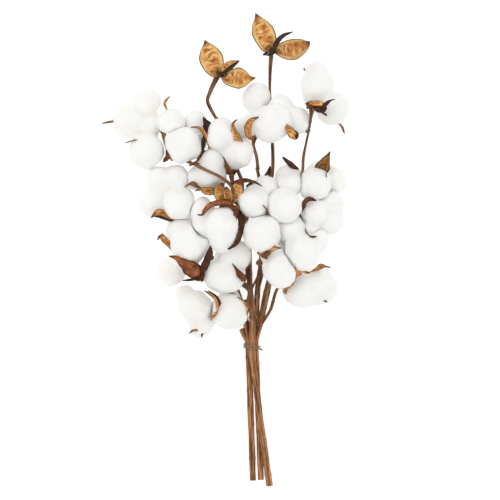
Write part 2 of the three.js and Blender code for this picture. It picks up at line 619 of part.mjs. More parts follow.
// One lock of cotton: a soft lumpy pear that narrows towards the seat.
function lock(centre, radius, seat, random, grow) {
  const outward = centre.clone().sub(seat).normalize();
  const phases = [0, 1, 2, 3].map(() => random() * 2 * Math.PI);
  const turn = new THREE.Quaternion().setFromUnitVectors(new THREE.Vector3(0, 1, 0), outward);
  const ball = radius < SMALL_LOCK ? new THREE.DodecahedronGeometry(1) : new THREE.OctahedronGeometry(1, 2);
  return solidOf(
    shape(ball, (d) => {
      const lumps =
        Math.sin(3.3 * d.x + phases[0]) * Math.sin(3.1 * d.y + phases[1]) +
        0.6 * Math.sin(5.2 * d.z + phases[2]) * Math.sin(4.7 * d.x + phases[3]);
      const size = radius * LOCK_FULLNESS * (1 + LOCK_LUMPS * lumps) + grow;
      const waist = 1 - LOCK_WAIST * clamp(-d.y, 0, 1) ** 2;
      return new THREE.Vector3(d.x * waist, d.y * LOCK_STRETCH, d.z * waist)
        .multiplyScalar(size)
        .applyQuaternion(turn)
        .add(centre);
    }),
  );
}

// All the cotton of a boll, before its neighbours press into it.
function cotton(boll, index, grow) {
  const random = seededRandom(FIRST_SEED * (index + 1));
  const pieces = boll.locks.map((l) => lock(point(l), l[3], boll.seat, random, grow));
  if (boll.heart) {
    const middle = boll.seat.clone().lerp(boll.centre, HEART_PLACE);
    const core = new THREE.OctahedronGeometry(boll.heart + grow, 1);
    pieces.push(solidOf(core.translate(middle.x, middle.y, middle.z)));
  }
  return join(pieces);
}

// A stalk with its stubs and its twigs, as one body. A twig thickens to a knob under its burr.
function stalk(name, heads, grow) {
  const plan = STALKS[name];
  const pieces = [limb(plan.route, plan.radii, STALK_SIDES, grow)];
  for (const stub of plan.stubs) pieces.push(limb(stub.route, stub.radii, STALK_SIDES, grow));
  for (const head of heads.filter((h) => h.stalk === name)) {
    const below = (depth) => head.seat.clone().addScaledVector(head.axis, -depth).toArray();
    const route = [...head.route, below(GAP + KNOB_LENGTH), below(GAP)];
    const radii = [...(head.radii ?? head.route.map(() => TWIG_RADIUS)), TWIG_RADIUS, KNOB_RADIUS];
    pieces.push(limb(route, radii, TWIG_SIDES, grow));
  }
  return join(pieces);
}

// Twine round the three stalks: each turn keeps to the outermost stalk in every direction.
function twine() {
  const stems = Object.values(STALKS).map((s) => point(s.route.find((p) => p[1] === 0)));
  const samplesPerTurn = 10;
  const count = Math.round(TWINE_TURNS * samplesPerTurn);
  const clear = STALK_RADIUS + 1.7 * GAP + TWINE_RADIUS;
  const path = [];
  for (let i = 0; i <= count; i++) {
    const angle = -0.6 + (i / samplesPerTurn) * 2 * Math.PI;
    const out = new THREE.Vector3(Math.cos(angle), 0, Math.sin(angle));
    const outermost = stems.reduce((best, c) => (c.dot(out) > best.dot(out) ? c : best));
    const drift = (i / samplesPerTurn - TWINE_TURNS / 2) * TWINE_PITCH;
    path.push(outermost.clone().addScaledVector(out, clear).add(new THREE.Vector3(0, drift, 0)));
  }
  const tail = new THREE.Vector3(TWINE_TAIL, -TWINE_TAIL / 2, -TWINE_TAIL / 2);
  path.unshift(path[0].clone().add(tail));
  path.push(path[path.length - 1].clone().sub(tail));
  const section = new THREE.Shape().absarc(0, 0, TWINE_RADIUS, 0, 2 * Math.PI);
  return solidOf(
    new THREE.ExtrudeGeometry(section, {
      steps: 20,
      curveSegments: 3,
      extrudePath: new THREE.CatmullRomCurve3(path, false, "centripetal"),
    }),
  );
}

// Heads: bolls and pods, with their axes and all their valves worked out
const heads = [...BOLLS, ...PODS].map((plan) => {
  const seat = point(plan.seat);
  const centre = plan.locks
    ? plan.locks.map(point).reduce((sum, p) => sum.add(p)).divideScalar(plan.locks.length)
    : seat;
  const axis = (plan.axis ? point(plan.axis) : centre.clone().sub(seat)).normalize();
  const head = { ...plan, seat, centre, axis };
  return { ...head, allValves: allValves(head, plan.locks ? FEWEST_VALVES : 0) };
});
const bolls = heads.filter((h) => h.locks);

const surface = solidOf(new THREE.BoxGeometry(900, 900, 100).translate(0, 0, -50));
const stalkNames = Object.keys(STALKS);
const stalkSolids = stalkNames.map((name) => largestBody(stalk(name, heads, 0).subtract(surface)));
const clearOfStalks = stalkNames.map((name) => stalk(name, heads, GAP));

// Each piece is cut clear of the stalks, and of the burrs and the cotton placed before it
const cutters = [...clearOfStalks];
const burrSolids = heads.map((head) => {
  const solid = largestBody(cutters.reduce((s, c) => s.subtract(c), burr(head, 0)).subtract(surface));
  cutters.push(burr(head, 1.4 * GAP));
  return solid;
});
const cottonSolids = bolls.map((boll, i) => {
  const solid = largestBody(cutters.reduce((s, c) => s.subtract(c), cotton(boll, i, 0)).subtract(surface));
  cutters.push(cotton(boll, i, GAP));
  return solid;
});

const group = new THREE.Group();

function place(name, solid, kind) {
  const material = new THREE.MeshStandardMaterial({ color: COLOURS[kind], roughness: ROUGHNESS[kind] });
  const mesh = new THREE.Mesh(geometryOf(solid), material);
  mesh.name = name;
  group.add(mesh);
}

stalkNames.forEach((name, i) => place(`stalk_${name}`, stalkSolids[i], "bark"));
heads.forEach((head, i) => {
  if (head.locks) place(`${head.name}_burr`, burrSolids[i], "burr");
  else place(head.name, burrSolids[i], "pod");
});
bolls.forEach((boll, i) => place(`${boll.name}_cotton`, cottonSolids[i], "cotton"));
place("twine_tie", twine(), "twine");

// The origin goes to the middle of the whole bunch, on the surface
const box = new THREE.Box3().setFromObject(group);
const middle = box.getCenter(new THREE.Vector3());
group.position.set(-middle.x, -middle.y, -box.min.z);

export default group;
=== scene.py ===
# A bunch of three cut cotton stalks with open bolls and empty pods, tied and lying on its side.
# Metres. +Y runs from the cut ends to the pods, +X to the right, +Z up from the surface.
import math
import random

import bpy
import numpy as np
from mathutils import Matrix, Vector, noise


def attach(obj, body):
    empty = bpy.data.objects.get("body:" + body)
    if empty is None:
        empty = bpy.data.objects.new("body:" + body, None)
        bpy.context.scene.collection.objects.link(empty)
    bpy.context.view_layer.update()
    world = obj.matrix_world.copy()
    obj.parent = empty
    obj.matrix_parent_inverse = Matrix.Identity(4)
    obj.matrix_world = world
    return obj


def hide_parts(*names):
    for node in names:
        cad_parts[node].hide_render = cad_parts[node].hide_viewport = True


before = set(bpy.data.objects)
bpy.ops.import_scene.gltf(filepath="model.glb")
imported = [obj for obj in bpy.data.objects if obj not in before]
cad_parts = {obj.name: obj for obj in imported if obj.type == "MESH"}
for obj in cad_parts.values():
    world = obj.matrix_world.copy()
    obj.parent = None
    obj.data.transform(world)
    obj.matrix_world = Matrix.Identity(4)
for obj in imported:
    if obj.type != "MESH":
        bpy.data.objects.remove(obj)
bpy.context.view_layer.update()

MM = 0.001


# Camera
# The photograph looks straight at the bunch, which lies on its side here, so the camera looks
# straight down on it from far off. The picture's 500 pixels are 1 mm each on the bunch.
TIE_MIDDLE = Vector((25.7545, -96.6053, 0))  # mm, in the frame; the layout is measured from here
PICTURE_MIDDLE = (-2, 97.5, 40)  # mm, in the layout
PICTURE_WIDTH = 500 * MM
SENSOR_WIDTH = 36
LENS = 320
FARTHEST_SEEN = 50


def at(point):
    """A layout point, given in mm, in metres in the frame."""
    return (Vector(point[:3]) + TIE_MIDDLE) * MM


bpy.ops.object.select_all(action="DESELECT")
above = Vector((0, 0, PICTURE_WIDTH * LENS / SENSOR_WIDTH))
bpy.ops.object.camera_add(location=at(PICTURE_MIDDLE) + above, rotation=(0, 0, 0))
camera = bpy.context.object
camera.name = "camera"
camera.data.lens = LENS
camera.data.sensor_width = SENSOR_WIDTH
camera.data.clip_end = FARTHEST_SEEN
bpy.context.scene.camera = camera


# Floor and light
# A white studio: a wide matt white table lit from below, a bright even sky for the shadowless
# look, and two large soft lamps, the main one high on the left.
FLOOR_SIZE = 12
FLOOR_WHITE = 0.4
FLOOR_GLOW = 0.82
SKY_STRENGTH = 0.79
LAMPS = {
    "main_lamp": dict(place=(-0.8, 0.7, 2.6), size=1.4, power=15),
    "side_lamp": dict(place=(1.4, -0.5, 2.3), size=1.6, power=5),
}


def new_material(name, roughness):
    """A material, its node tree and its Principled shader."""
    material = bpy.data.materials.new(name)
    material.use_nodes = True
    tree = material.node_tree
    shader = tree.nodes["Principled BSDF"]
    shader.inputs["Roughness"].default_value = roughness
    return material, tree, shader


bpy.ops.mesh.primitive_plane_add(size=FLOOR_SIZE, location=(0, 0, 0))
floor = bpy.context.object
floor.name = "floor"
white, tree, shader = new_material("studio_white", 0.9)
shader.inputs["Base Color"].default_value = (FLOOR_WHITE, FLOOR_WHITE, FLOOR_WHITE, 1)
shader.inputs["Specular IOR Level"].default_value = 0.1
shader.inputs["Emission Color"].default_value = (1, 1, 1, 1)
shader.inputs["Emission Strength"].default_value = FLOOR_GLOW
floor.data.materials.append(white)

sky = bpy.data.worlds.new("studio_sky")
sky.use_nodes = True
sky.node_tree.nodes["Background"].inputs["Color"].default_value = (1, 1, 1, 1)
sky.node_tree.nodes["Background"].inputs["Strength"].default_value = SKY_STRENGTH
bpy.context.scene.world = sky
bpy.context.scene.view_settings.view_transform = "Standard"

for name, lamp in LAMPS.items():
    bpy.ops.object.light_add(type="AREA", location=lamp["place"])
    light = bpy.context.object
    light.name = name
    light.data.size = lamp["size"]
    light.data.energy = lamp["power"]
    light.rotation_euler = (-Vector(lamp["place"])).to_track_quat("-Z", "Y").to_euler()


# Stalks
# Three cut stalks of dry cotton wood with fibrous brown bark, pruned stubs and the thin twigs
# that carry the bolls. Each stalk grew as one piece, and a twig thickens under its burr.
STALK_RADIUS = 3.2  # mm, where the twine holds it
TWIG_RADIUS = 1.6
KNOB_LENGTH = 9
KNOB_RADIUS = 3
SEAT_GAP = 0.35
STALKS = {
    "left": dict(
        route=[
            (0.9, -134.7, 3.2), (-0.3, -90, 4.2), (-2, -45, 5.4), (-3.5, 0, 6.6), (-6, 25, 6.8),
            (-16, 58, 8), (-34, 82, 10), (-52, 104, 12), (-66, 125, 12), (-78, 145, 8),
        ],
        radii=[3.1, 3, 3.1, 3.2, 3, 2.7, 2.4, 2.1, 1.9, 1.7],
        stubs=[
            dict(route=[(-4, 5, 6.7), (-7.5, 11, 8), (-10.5, 18, 9)], radii=[2.4, 2.4, 2.2]),
        ],
    ),
    "front": dict(
        route=[
            (17.7, -140, 3.3), (12.8, -103, 8.8), (8, -70, 11.4), (3.6, -35, 12.6),
            (0, 0, 12.8), (1, 30, 15.5), (-2, 58, 20), (-3, 81, 26), (-3, 98, 32),
            (-6, 120, 38), (-11, 141, 44),
        ],
        radii=[3.2, 3.1, 3, 3.1, 3.2, 3.3, 3, 2.8, 2.6, 2.4, 2.2],
        stubs=[
            dict(route=[(0.9, 29, 15.4), (0.7, 31.5, 15.8)], radii=[3.9, 3.9]),
            dict(route=[(-1, 57, 20), (3.5, 66.5, 21.5), (8, 76, 24)], radii=[1.3, 1, 0.8]),
            dict(route=[(-62, 182, 56), (-57, 184.5, 58.5), (-53, 187, 60)], radii=[1.3, 1.2, 1]),
        ],
    ),
    "right": dict(
        route=[
            (9, -134, 3.2), (8, -102, 3.9), (6.6, -70, 4.7), (5, -35, 5.7), (3.5, 0, 6.6),
            (4.5, 30, 9), (6, 60, 13), (9, 84, 20), (10, 110, 23), (11, 140, 25), (8, 165, 28),
            (5, 180, 31),
        ],
        radii=[3, 3, 3, 3.1, 3.2, 3, 2.7, 2.5, 2.3, 2.1, 1.9, 1.7],
        stubs=[
            dict(
                route=[(4, 8, 7.2), (9, 27, 10), (13, 47, 14), (17.5, 67, 19)],
                radii=[2.8, 3.1, 3.2, 3.1],
            ),
            dict(route=[(6.8, 62, 14), (9.2, 71, 17), (11, 78, 19)], radii=[2.2, 2.1, 2]),
        ],
    ),
}
BOLLS = {
    "boll_01": dict(
        stalk="front", seat=(-15, 139, 62),
        twig=[(-7, 124, 39), (-4, 133, 50)],
        locks=[(-31, 122, 65, 15.8), (-50, 138, 50, 12.5), (-47, 121, 52, 13), (-29, 110.5, 60, 13)],
        valves=[
            dict(tone=0.95, face=(0.2, -0.5, -0.84), line=[
                (-24, 145.5, 66, 3.2), (-34, 144.5, 70, 3.4), (-42, 142, 70, 3), (-47.5, 136, 69, 2.2),
                (-49.5, 132.5, 68, 1.4), (-54, 132.5, 67, 0.5),
            ]),
            dict(tone=0.1, face=(-0.5, 0.1, -0.86), line=[
                (-14, 138, 58, 3.6), (-11.5, 126, 63, 4), (-12, 113, 67, 3.4), (-16, 104, 68, 2.4),
                (-24, 98, 68, 0.8),
            ]),
        ],
    ),
    "boll_02": dict(
        stalk="left", seat=(-52, 71, 44), axis=(-0.3, 0.35, 0.89),
        twig=[(-40, 89, 11), (-46, 76, 20)],
        locks=[(-62, 104, 50, 18), (-71, 117, 36, 15), (-80.5, 76.5, 14, 14)],
        valves=[
            dict(tone=0.8, face=(0.1, 0.2, -0.97), line=[
                (-52, 72, 50, 6.5), (-60, 78, 57, 8.2), (-68, 84.5, 60, 5.6), (-75, 89.5, 60, 2.6),
                (-83, 91.5, 58, 0.5),
            ]),
            dict(tone=0.05, face=(-0.4, 0.3, -0.86), line=[
                (-49, 76, 52, 4), (-45.5, 85, 57, 4.2), (-42, 94, 62, 3.6), (-41, 102, 62, 0.8),
            ]),
            dict(tone=0.05, face=(0, 0, -1), line=[
                (-57, 68.5, 53, 1.6), (-64, 67.5, 52, 1.2), (-69.5, 67, 50, 0.4),
            ]),
            dict(face=(0.5, -0.2, 0.84), line=[
                (-82, 102.5, 42, 3), (-88, 108, 46, 3.4), (-91, 112.5, 45, 2.2), (-94.5, 107.5, 43, 0.6),
            ]),
        ],
    ),
    "boll_03": dict(
        stalk="right", seat=(13, 90, 46),
        twig=[(9, 82, 19.5)],
        locks=[(11, 113, 60, 18.2), (26.5, 77.5, 57, 16), (30, 98, 36, 12)],
        valves=[
            dict(face=(0.1, -0.5, 0.86), line=[
                (15, 93, 62, 3), (17, 97, 67, 3.4), (22, 99.5, 70, 2.6), (29, 99.5, 72, 0.6),
            ]),
            dict(face=(0.6, 0, 0.8), line=[(11, 92, 60, 2.4), (5, 95, 61, 0.8)]),
            dict(tone=0.6, face=(0, 0.2, -1), line=[
                (13, 90, 60, 3.6), (14.5, 95, 66, 3.2), (16, 98, 68, 1),
            ]),
        ],
    ),
    "boll_04": dict(
        stalk="right", seat=(27, 158, 27),
        twig=[(10, 145, 25.5)],
        locks=[(32, 142, 60, 17), (38, 163, 46, 12), (36, 169, 33, 12)],
        valves=[
            dict(face=(0.5, 0, -0.86), line=[
                (19, 147, 46, 1.8), (14.5, 139, 66, 2), (11, 142, 75, 0.8),
            ]),
            dict(face=(0.5, 0.3, -0.8), line=[
                (20, 143, 48, 1.4), (17, 135, 66, 1.6), (13, 132.5, 73, 0.8),
            ]),
        ],
    ),
    "boll_05": dict(
        stalk="right", seat=(-4, 154, 35),
        twig=[(10.5, 132, 24.5), (0, 142, 25)],
        locks=[(3, 145, 58, 15.5), (14, 159, 46, 12.5)],
        valves=[
            dict(tone=0.45, face=(0.1, 0.75, -0.65), line=[
                (-16, 155, 50, 3.2), (-17, 162, 58, 3.6), (-8, 166.5, 64, 3.4), (2, 165, 67, 2),
                (10, 161, 68, 0.5),
            ]),
            dict(tone=0.0, face=(0, 0.1, -1), line=[
                (13.5, 168, 30, 3.6), (16.5, 174, 24, 3), (18.3, 182, 23.5, 0.5),
            ]),
        ],
    ),
    "boll_06": dict(
        stalk="front", seat=(-90, 222, 15),
        twig=[
            (-11, 140, 43.5), (-17, 153, 56), (-22, 163, 63), (-32, 170.5, 66),
            (-45, 176.5, 64), (-57.5, 183, 57), (-67, 187, 46), (-79, 196, 25),
        ],
        locks=[(-105, 246, 33, 13), (-119, 227, 18.5, 19), (-105, 197, 36, 17), (-81, 225, 42, 12.5)],
        valves=[
            dict(tone=0.55, face=(0.8, 0.2, 0.6), line=[
                (-80, 189, 34, 2.4), (-82, 192, 44, 3), (-84, 198, 48, 2.2), (-87, 206, 50, 0.6),
            ]),
            dict(face=(0.3, -0.3, -0.9), line=[
                (-84, 191, 44, 2.6), (-87, 187.5, 47, 2.2), (-88.5, 185.5, 46, 0.8),
            ]),
            dict(tone=0.7, face=(0.2, 1, 0.15), line=[
                (-104, 211, 22, 1.6), (-111, 209.5, 42, 1.8), (-119, 207, 46, 1.7),
                (-127, 204.5, 38, 0.5),
            ]),
            dict(tone=0.4, face=(0, -0.3, 0.95), line=[
                (-136, 227, 24, 1.2), (-143, 226, 25, 1.2), (-150.5, 224.5, 23, 0.5),
            ]),
            dict(face=(-0.6, 0.3, 0.75), line=[
                (-85.5, 238, 44, 1.8), (-87, 244.5, 48, 2.2), (-82, 251, 50, 0.5),
            ]),
        ],
    ),
    "boll_07": dict(
        stalk="front", seat=(-52, 191, 46),
        twig=[(-60, 184, 55)],
        locks=[(-68, 203, 49, 17), (-56, 225, 34, 10.5), (-58, 208, 28, 14)],
        valves=[
            dict(tone=0.5, face=(0.55, 0.2, 0.81), line=[
                (-42.5, 199, 50, 2), (-44.5, 208, 56, 2.4), (-49.5, 216.5, 58, 2),
                (-54, 219.5, 59, 1.2), (-61, 219.8, 58, 0.5),
            ]),
            dict(tone=0.0, face=(0, 0, -1), line=[
                (-45, 216, 52, 3.2), (-44.5, 221.5, 55, 4.8), (-47, 226.5, 55, 2.2),
                (-48.5, 230, 53, 0.5),
            ]),
        ],
    ),
    "boll_08": dict(
        stalk="front", seat=(-20.5, 173, 43),
        twig=[(-11, 140, 43.5), (-18, 156, 44)],
        locks=[(-31.5, 212, 55, 13.5), (-14.5, 193.5, 47, 14.5), (-30, 217, 33, 11.5)],
        valves=[
            dict(tone=0.6, face=(-0.3, -0.3, 0.9), line=[
                (-13.5, 203, 55, 4.5), (-16, 210, 62, 5.4), (-18, 217, 66, 2.4), (-19, 223, 66, 1.4),
                (-15, 227.5, 62, 0.5),
            ]),
            dict(tone=0.15, face=(0.8, 0.3, 0.5), line=[
                (-21.5, 176, 56, 2.4), (-24.5, 182, 58, 2), (-28.5, 190, 60, 0.6),
            ]),
        ],
    ),
    "boll_09": dict(
        stalk="front", seat=(-34, 155, 36),
        twig=[(-11, 140, 43.5), (-20, 147, 40)],
        locks=[(-41, 173, 45, 15), (-54, 169, 40, 12), (-38, 186.5, 46, 10.5), (-42, 178, 24, 13)],
        valves=[
            dict(tone=0.12, face=(0.1, 0.4, 0.9), line=[
                (-52, 160, 52, 2), (-59, 163.5, 55, 2.6), (-63, 163, 54, 1), (-67.5, 160.5, 51, 0.4),
            ]),
            dict(tone=0.55, face=(0, -0.3, 0.95), line=[
                (-34, 154, 54, 3), (-39, 156, 58, 4), (-46, 156.5, 59, 4), (-51, 158, 58, 2),
                (-57, 156.5, 57, 0.5),
            ]),
        ],
    ),
    "boll_10": dict(
        stalk="left", seat=(-84, 157, 13),
        twig=[(-78, 144, 8.2)],
        locks=[(-92, 167, 33, 13), (-75, 168, 36, 14), (-73, 144, 46, 16), (-98, 145, 30, 14)],
        valves=[
            dict(face=(0.3, 0.55, 0.78), line=[
                (-80, 129.5, 42, 3), (-87, 133, 48, 5), (-93, 135, 50, 4.4), (-97, 133, 50, 2.2),
                (-101, 129.5, 48, 0.5),
            ]),
            dict(tone=0.0, face=(0, 0.4, -0.9), line=[
                (-79, 127.5, 44, 1.4), (-86, 128.5, 48, 1.6), (-92, 130.5, 50, 1.3),
                (-98, 131, 49, 0.4),
            ]),
        ],
    ),
    "boll_11": dict(
        stalk="front", seat=(-9, 64, 31),
        twig=[(0.8, 31, 15.6), (-4, 45, 22)],
        locks=[(-28, 71, 37, 17.5), (-18, 91, 36, 15.5), (-26, 86, 20, 13)],
        valves=[
            dict(tone=0.3, face=(0, 0.2, -0.98), line=[
                (-8, 69, 50, 3), (-12, 73, 54, 3.2), (-16, 79, 54, 1.3), (-19.5, 84, 53, 0.4),
            ]),
        ],
    ),
    "boll_12": dict(
        stalk="left", seat=(-38, 38, 11),
        twig=[(-5.5, 22, 6.8), (-20, 30, 5.5)],
        locks=[(-56.3, 40.5, 29, 17), (-66, 53.5, 20, 9.5), (-51.5, 24, 23, 12)],
        valves=[
            dict(tone=0.75, face=(-0.8, 0, 0.6), line=[
                (-41, 29, 42, 1.4), (-35.5, 36, 44, 2.6), (-34.5, 44.5, 45, 2.8), (-39.5, 52, 45, 2.2),
                (-48, 57, 43, 0.5),
            ]),
            dict(tone=0.0, face=(-0.3, 0, -0.95), line=[
                (-37, 31, 40, 1), (-33, 37, 42, 1.6), (-32.5, 45, 43, 1.7), (-36.5, 52, 44, 1),
                (-44, 57, 44, 0.4),
            ]),
            dict(tone=0.3, face=(0.2, 0.5, 0.8), line=[
                (-55, 17.5, 34, 1.1), (-59, 17, 36, 1.2), (-63, 14, 33, 0.4),
            ]),
            dict(tone=0.3, face=(0, 0.5, 0.8), line=[
                (-50, 12.5, 33, 1.1), (-50.5, 9.5, 32, 0.4),
            ]),
        ],
    ),
    "boll_13": dict(
        stalk="left", seat=(-11, 44, 12),
        twig=[(-5, 18, 7), (-6, 29, 8)],
        locks=[(-23.5, 36, 27, 17.5), (-22, 47, 12, 12.5)],
        valves=[
            dict(face=(-0.6, -0.1, 0.78), line=[
                (-6, 33, 34, 1.6), (-5.5, 42, 37, 2), (-14.5, 50.5, 37, 0.5),
            ]),
        ],
    ),
    "boll_14": dict(
        stalk="right", seat=(54, 169, 23),
        twig=[(10, 130, 24.5), (30, 143, 21)],
        locks=[(63, 163, 42, 16), (80.5, 167, 23, 12.5), (67, 175, 20, 13)],
        valves=[
            dict(tone=0.15, face=(0.1, -0.3, 0.95), line=[
                (66, 172, 34, 6.5), (70, 180, 41, 7.6), (73.5, 187, 44, 4.8), (76, 192, 45, 2),
                (78, 196, 45, 0.5),
            ]),
            dict(tone=0.05, face=(0.1, 0.1, -0.98), line=[
                (46, 173, 30, 1.8), (45, 177, 38, 2.3), (40.5, 181.5, 45, 2.8), (36, 185, 48, 2.4),
                (30.5, 190.5, 46, 0.8),
            ]),
            # This thin brown strip, on top of a lock, stands in for the shade in the slit between two
            # locks: painted shade.
            dict(tone=0.4, face=(1, 0, 0.2), line=[
                (74.5, 169, 51, 1), (74.3, 172, 52, 1.2), (74, 176, 49, 0.5),
            ]),
        ],
    ),
    "boll_15": dict(
        stalk="right", seat=(47, 133, 30),
        twig=[(10, 112, 23), (28, 124, 21)],
        locks=[(62, 136, 46, 12.5), (75, 141.5, 31, 15), (75, 127, 31, 14.5), (58, 117, 38, 11)],
        valves=[
            dict(tone=0.2, face=(0.3, -0.4, -0.86), line=[
                (51.5, 138, 52, 1.8), (52, 145, 58, 3), (57, 148.5, 61, 2.8), (64, 146.5, 62, 0.6),
            ]),
            dict(tone=0.5, face=(0.2, 0.3, -0.93), line=[
                (57, 111.5, 60, 1), (60.5, 110.5, 62, 1.3), (64.5, 111, 60, 0.5),
            ]),
        ],
    ),
    "boll_16": dict(
        stalk="right", seat=(48, 106, 23),
        twig=[(9.3, 92, 21), (28, 99, 14)],
        locks=[(50, 96, 53, 18), (62, 107, 38, 13.5), (39, 120, 48, 14)],
        valves=[],
    ),
    "boll_17": dict(
        stalk="right", seat=(36, 59.5, 29),
        twig=[(4.5, 14, 7.6), (11, 25, 11), (18.5, 37.5, 17)],
        locks=[(50, 57, 27, 16.5), (67, 60, 23, 16.8)],
        valves=[
            dict(tone=0.75, face=(-0.1, -0.3, 0.94), line=[
                (43, 72, 48, 3.2), (46, 77, 55, 5), (50, 78.5, 56, 3.6), (54, 75.5, 54, 1.8),
                (58, 74.5, 52, 0.5),
            ]),
            dict(tone=0.5, face=(0, -0.5, 0.86), line=[
                (64, 78, 30, 2), (70, 81.5, 36, 3), (73.5, 81, 37, 1.2), (79, 80, 36, 0.5),
            ]),
            dict(face=(0.7, -0.4, 0.6), line=[
                (33.5, 57, 38, 3.4), (37, 62.5, 43, 3.6), (44.5, 71, 47, 0.8),
            ]),
            dict(tone=0.1, face=(0, 0.3, 0.95), line=[
                (66, 50, 20, 0.8), (71.5, 47.3, 30, 0.9), (73.6, 46.2, 35.8, 1),
                (75.6, 45.4, 35.4, 0.3),
            ]),
        ],
    ),
    "boll_18": dict(
        stalk="right", seat=(3, 212, 42),
        twig=[(6, 178, 30.6), (4.5, 191, 34)],
        locks=[(-5, 221, 46, 10.5), (20, 223.8, 58, 18), (5, 249, 38, 14)],
        valves=[
            dict(tone=0.7, face=(0.6, -0.1, 0.79), line=[
                (-1, 208.5, 52, 2), (-4, 214, 58, 3.8), (-4.5, 220, 62, 4.6), (-1.5, 226.5, 65, 3.2),
                (6.5, 229.5, 71, 0.6),
            ]),
        ],
    ),
    "boll_19": dict(
        stalk="right", seat=(48, 222, 31),
        twig=[(57, 217, 39)],
        locks=[(42, 226.5, 40, 14.2), (28.5, 238.5, 44, 13.5), (36, 231, 26, 12)],
        valves=[
            dict(tone=0.75, face=(0.2, -0.3, 0.93), line=[
                (43.5, 208.5, 54, 1.3), (41, 211.5, 61, 4.2), (38, 216, 66, 3.8), (34, 220.5, 71, 2),
                (29.5, 224, 74, 0.4),
            ]),
            dict(tone=0.0, face=(-0.3, 0.2, -0.93), line=[
                (45, 209, 57, 1.4), (44.6, 213, 61, 1.8), (42.8, 216.5, 64, 0.4),
            ]),
        ],
    ),
    "boll_20": dict(
        stalk="right", seat=(60, 239, 41), axis=(0.12, 0.9, -0.42),
        twig=[
            (10.5, 132, 24.5), (30, 139, 25), (43, 154, 31), (50, 172, 37), (51.5, 190, 38),
            (54.5, 206, 39), (57.8, 222, 40),
        ],
        radii=[1.6, 1.6, 1.6, 1.5, 1.4, 1.2, 1.1],
        locks=[(64.5, 260.5, 34, 17), (81.5, 240, 15.5, 16), (66, 251, 19, 14), (64, 275, 32, 9.5)],
        valves=[
            dict(tone=0.95, face=(0, -0.4, 0.9), line=[
                (58.5, 243.4, 49, 1.6), (61, 243.8, 53, 2.4), (64.5, 244, 54, 2.7),
                (69, 243.6, 54, 2.3), (73, 242.6, 52, 0.8),
            ]),
            dict(tone=0.1, face=(0.1, 0.4, -0.9), line=[
                (65, 240, 48, 1.4), (70.5, 239.5, 52, 2), (74.3, 243.5, 55, 2), (78.5, 246.6, 55, 0.9),
                (82.5, 247.6, 53, 0.4),
            ]),
            dict(tone=0.05, face=(0.3, 0.4, -0.86), line=[
                (63.5, 237.5, 47, 1.2), (66.5, 235.8, 51, 1.6), (71, 236.3, 53, 2),
                (74.5, 239.5, 54, 0.8),
            ]),
            dict(tone=0.2, face=(0.6, 0, 0.8), line=[
                (56, 274, 26, 1.4), (54, 277.5, 28, 1.6), (51.5, 279.5, 28, 0.5),
            ]),
            dict(tone=0.35, face=(0, 0.3, 0.95), line=[
                (90, 222, 18, 1.4), (91.5, 218.5, 20, 1.3), (93, 214.5, 16, 0.5),
            ]),
        ],
    ),
}
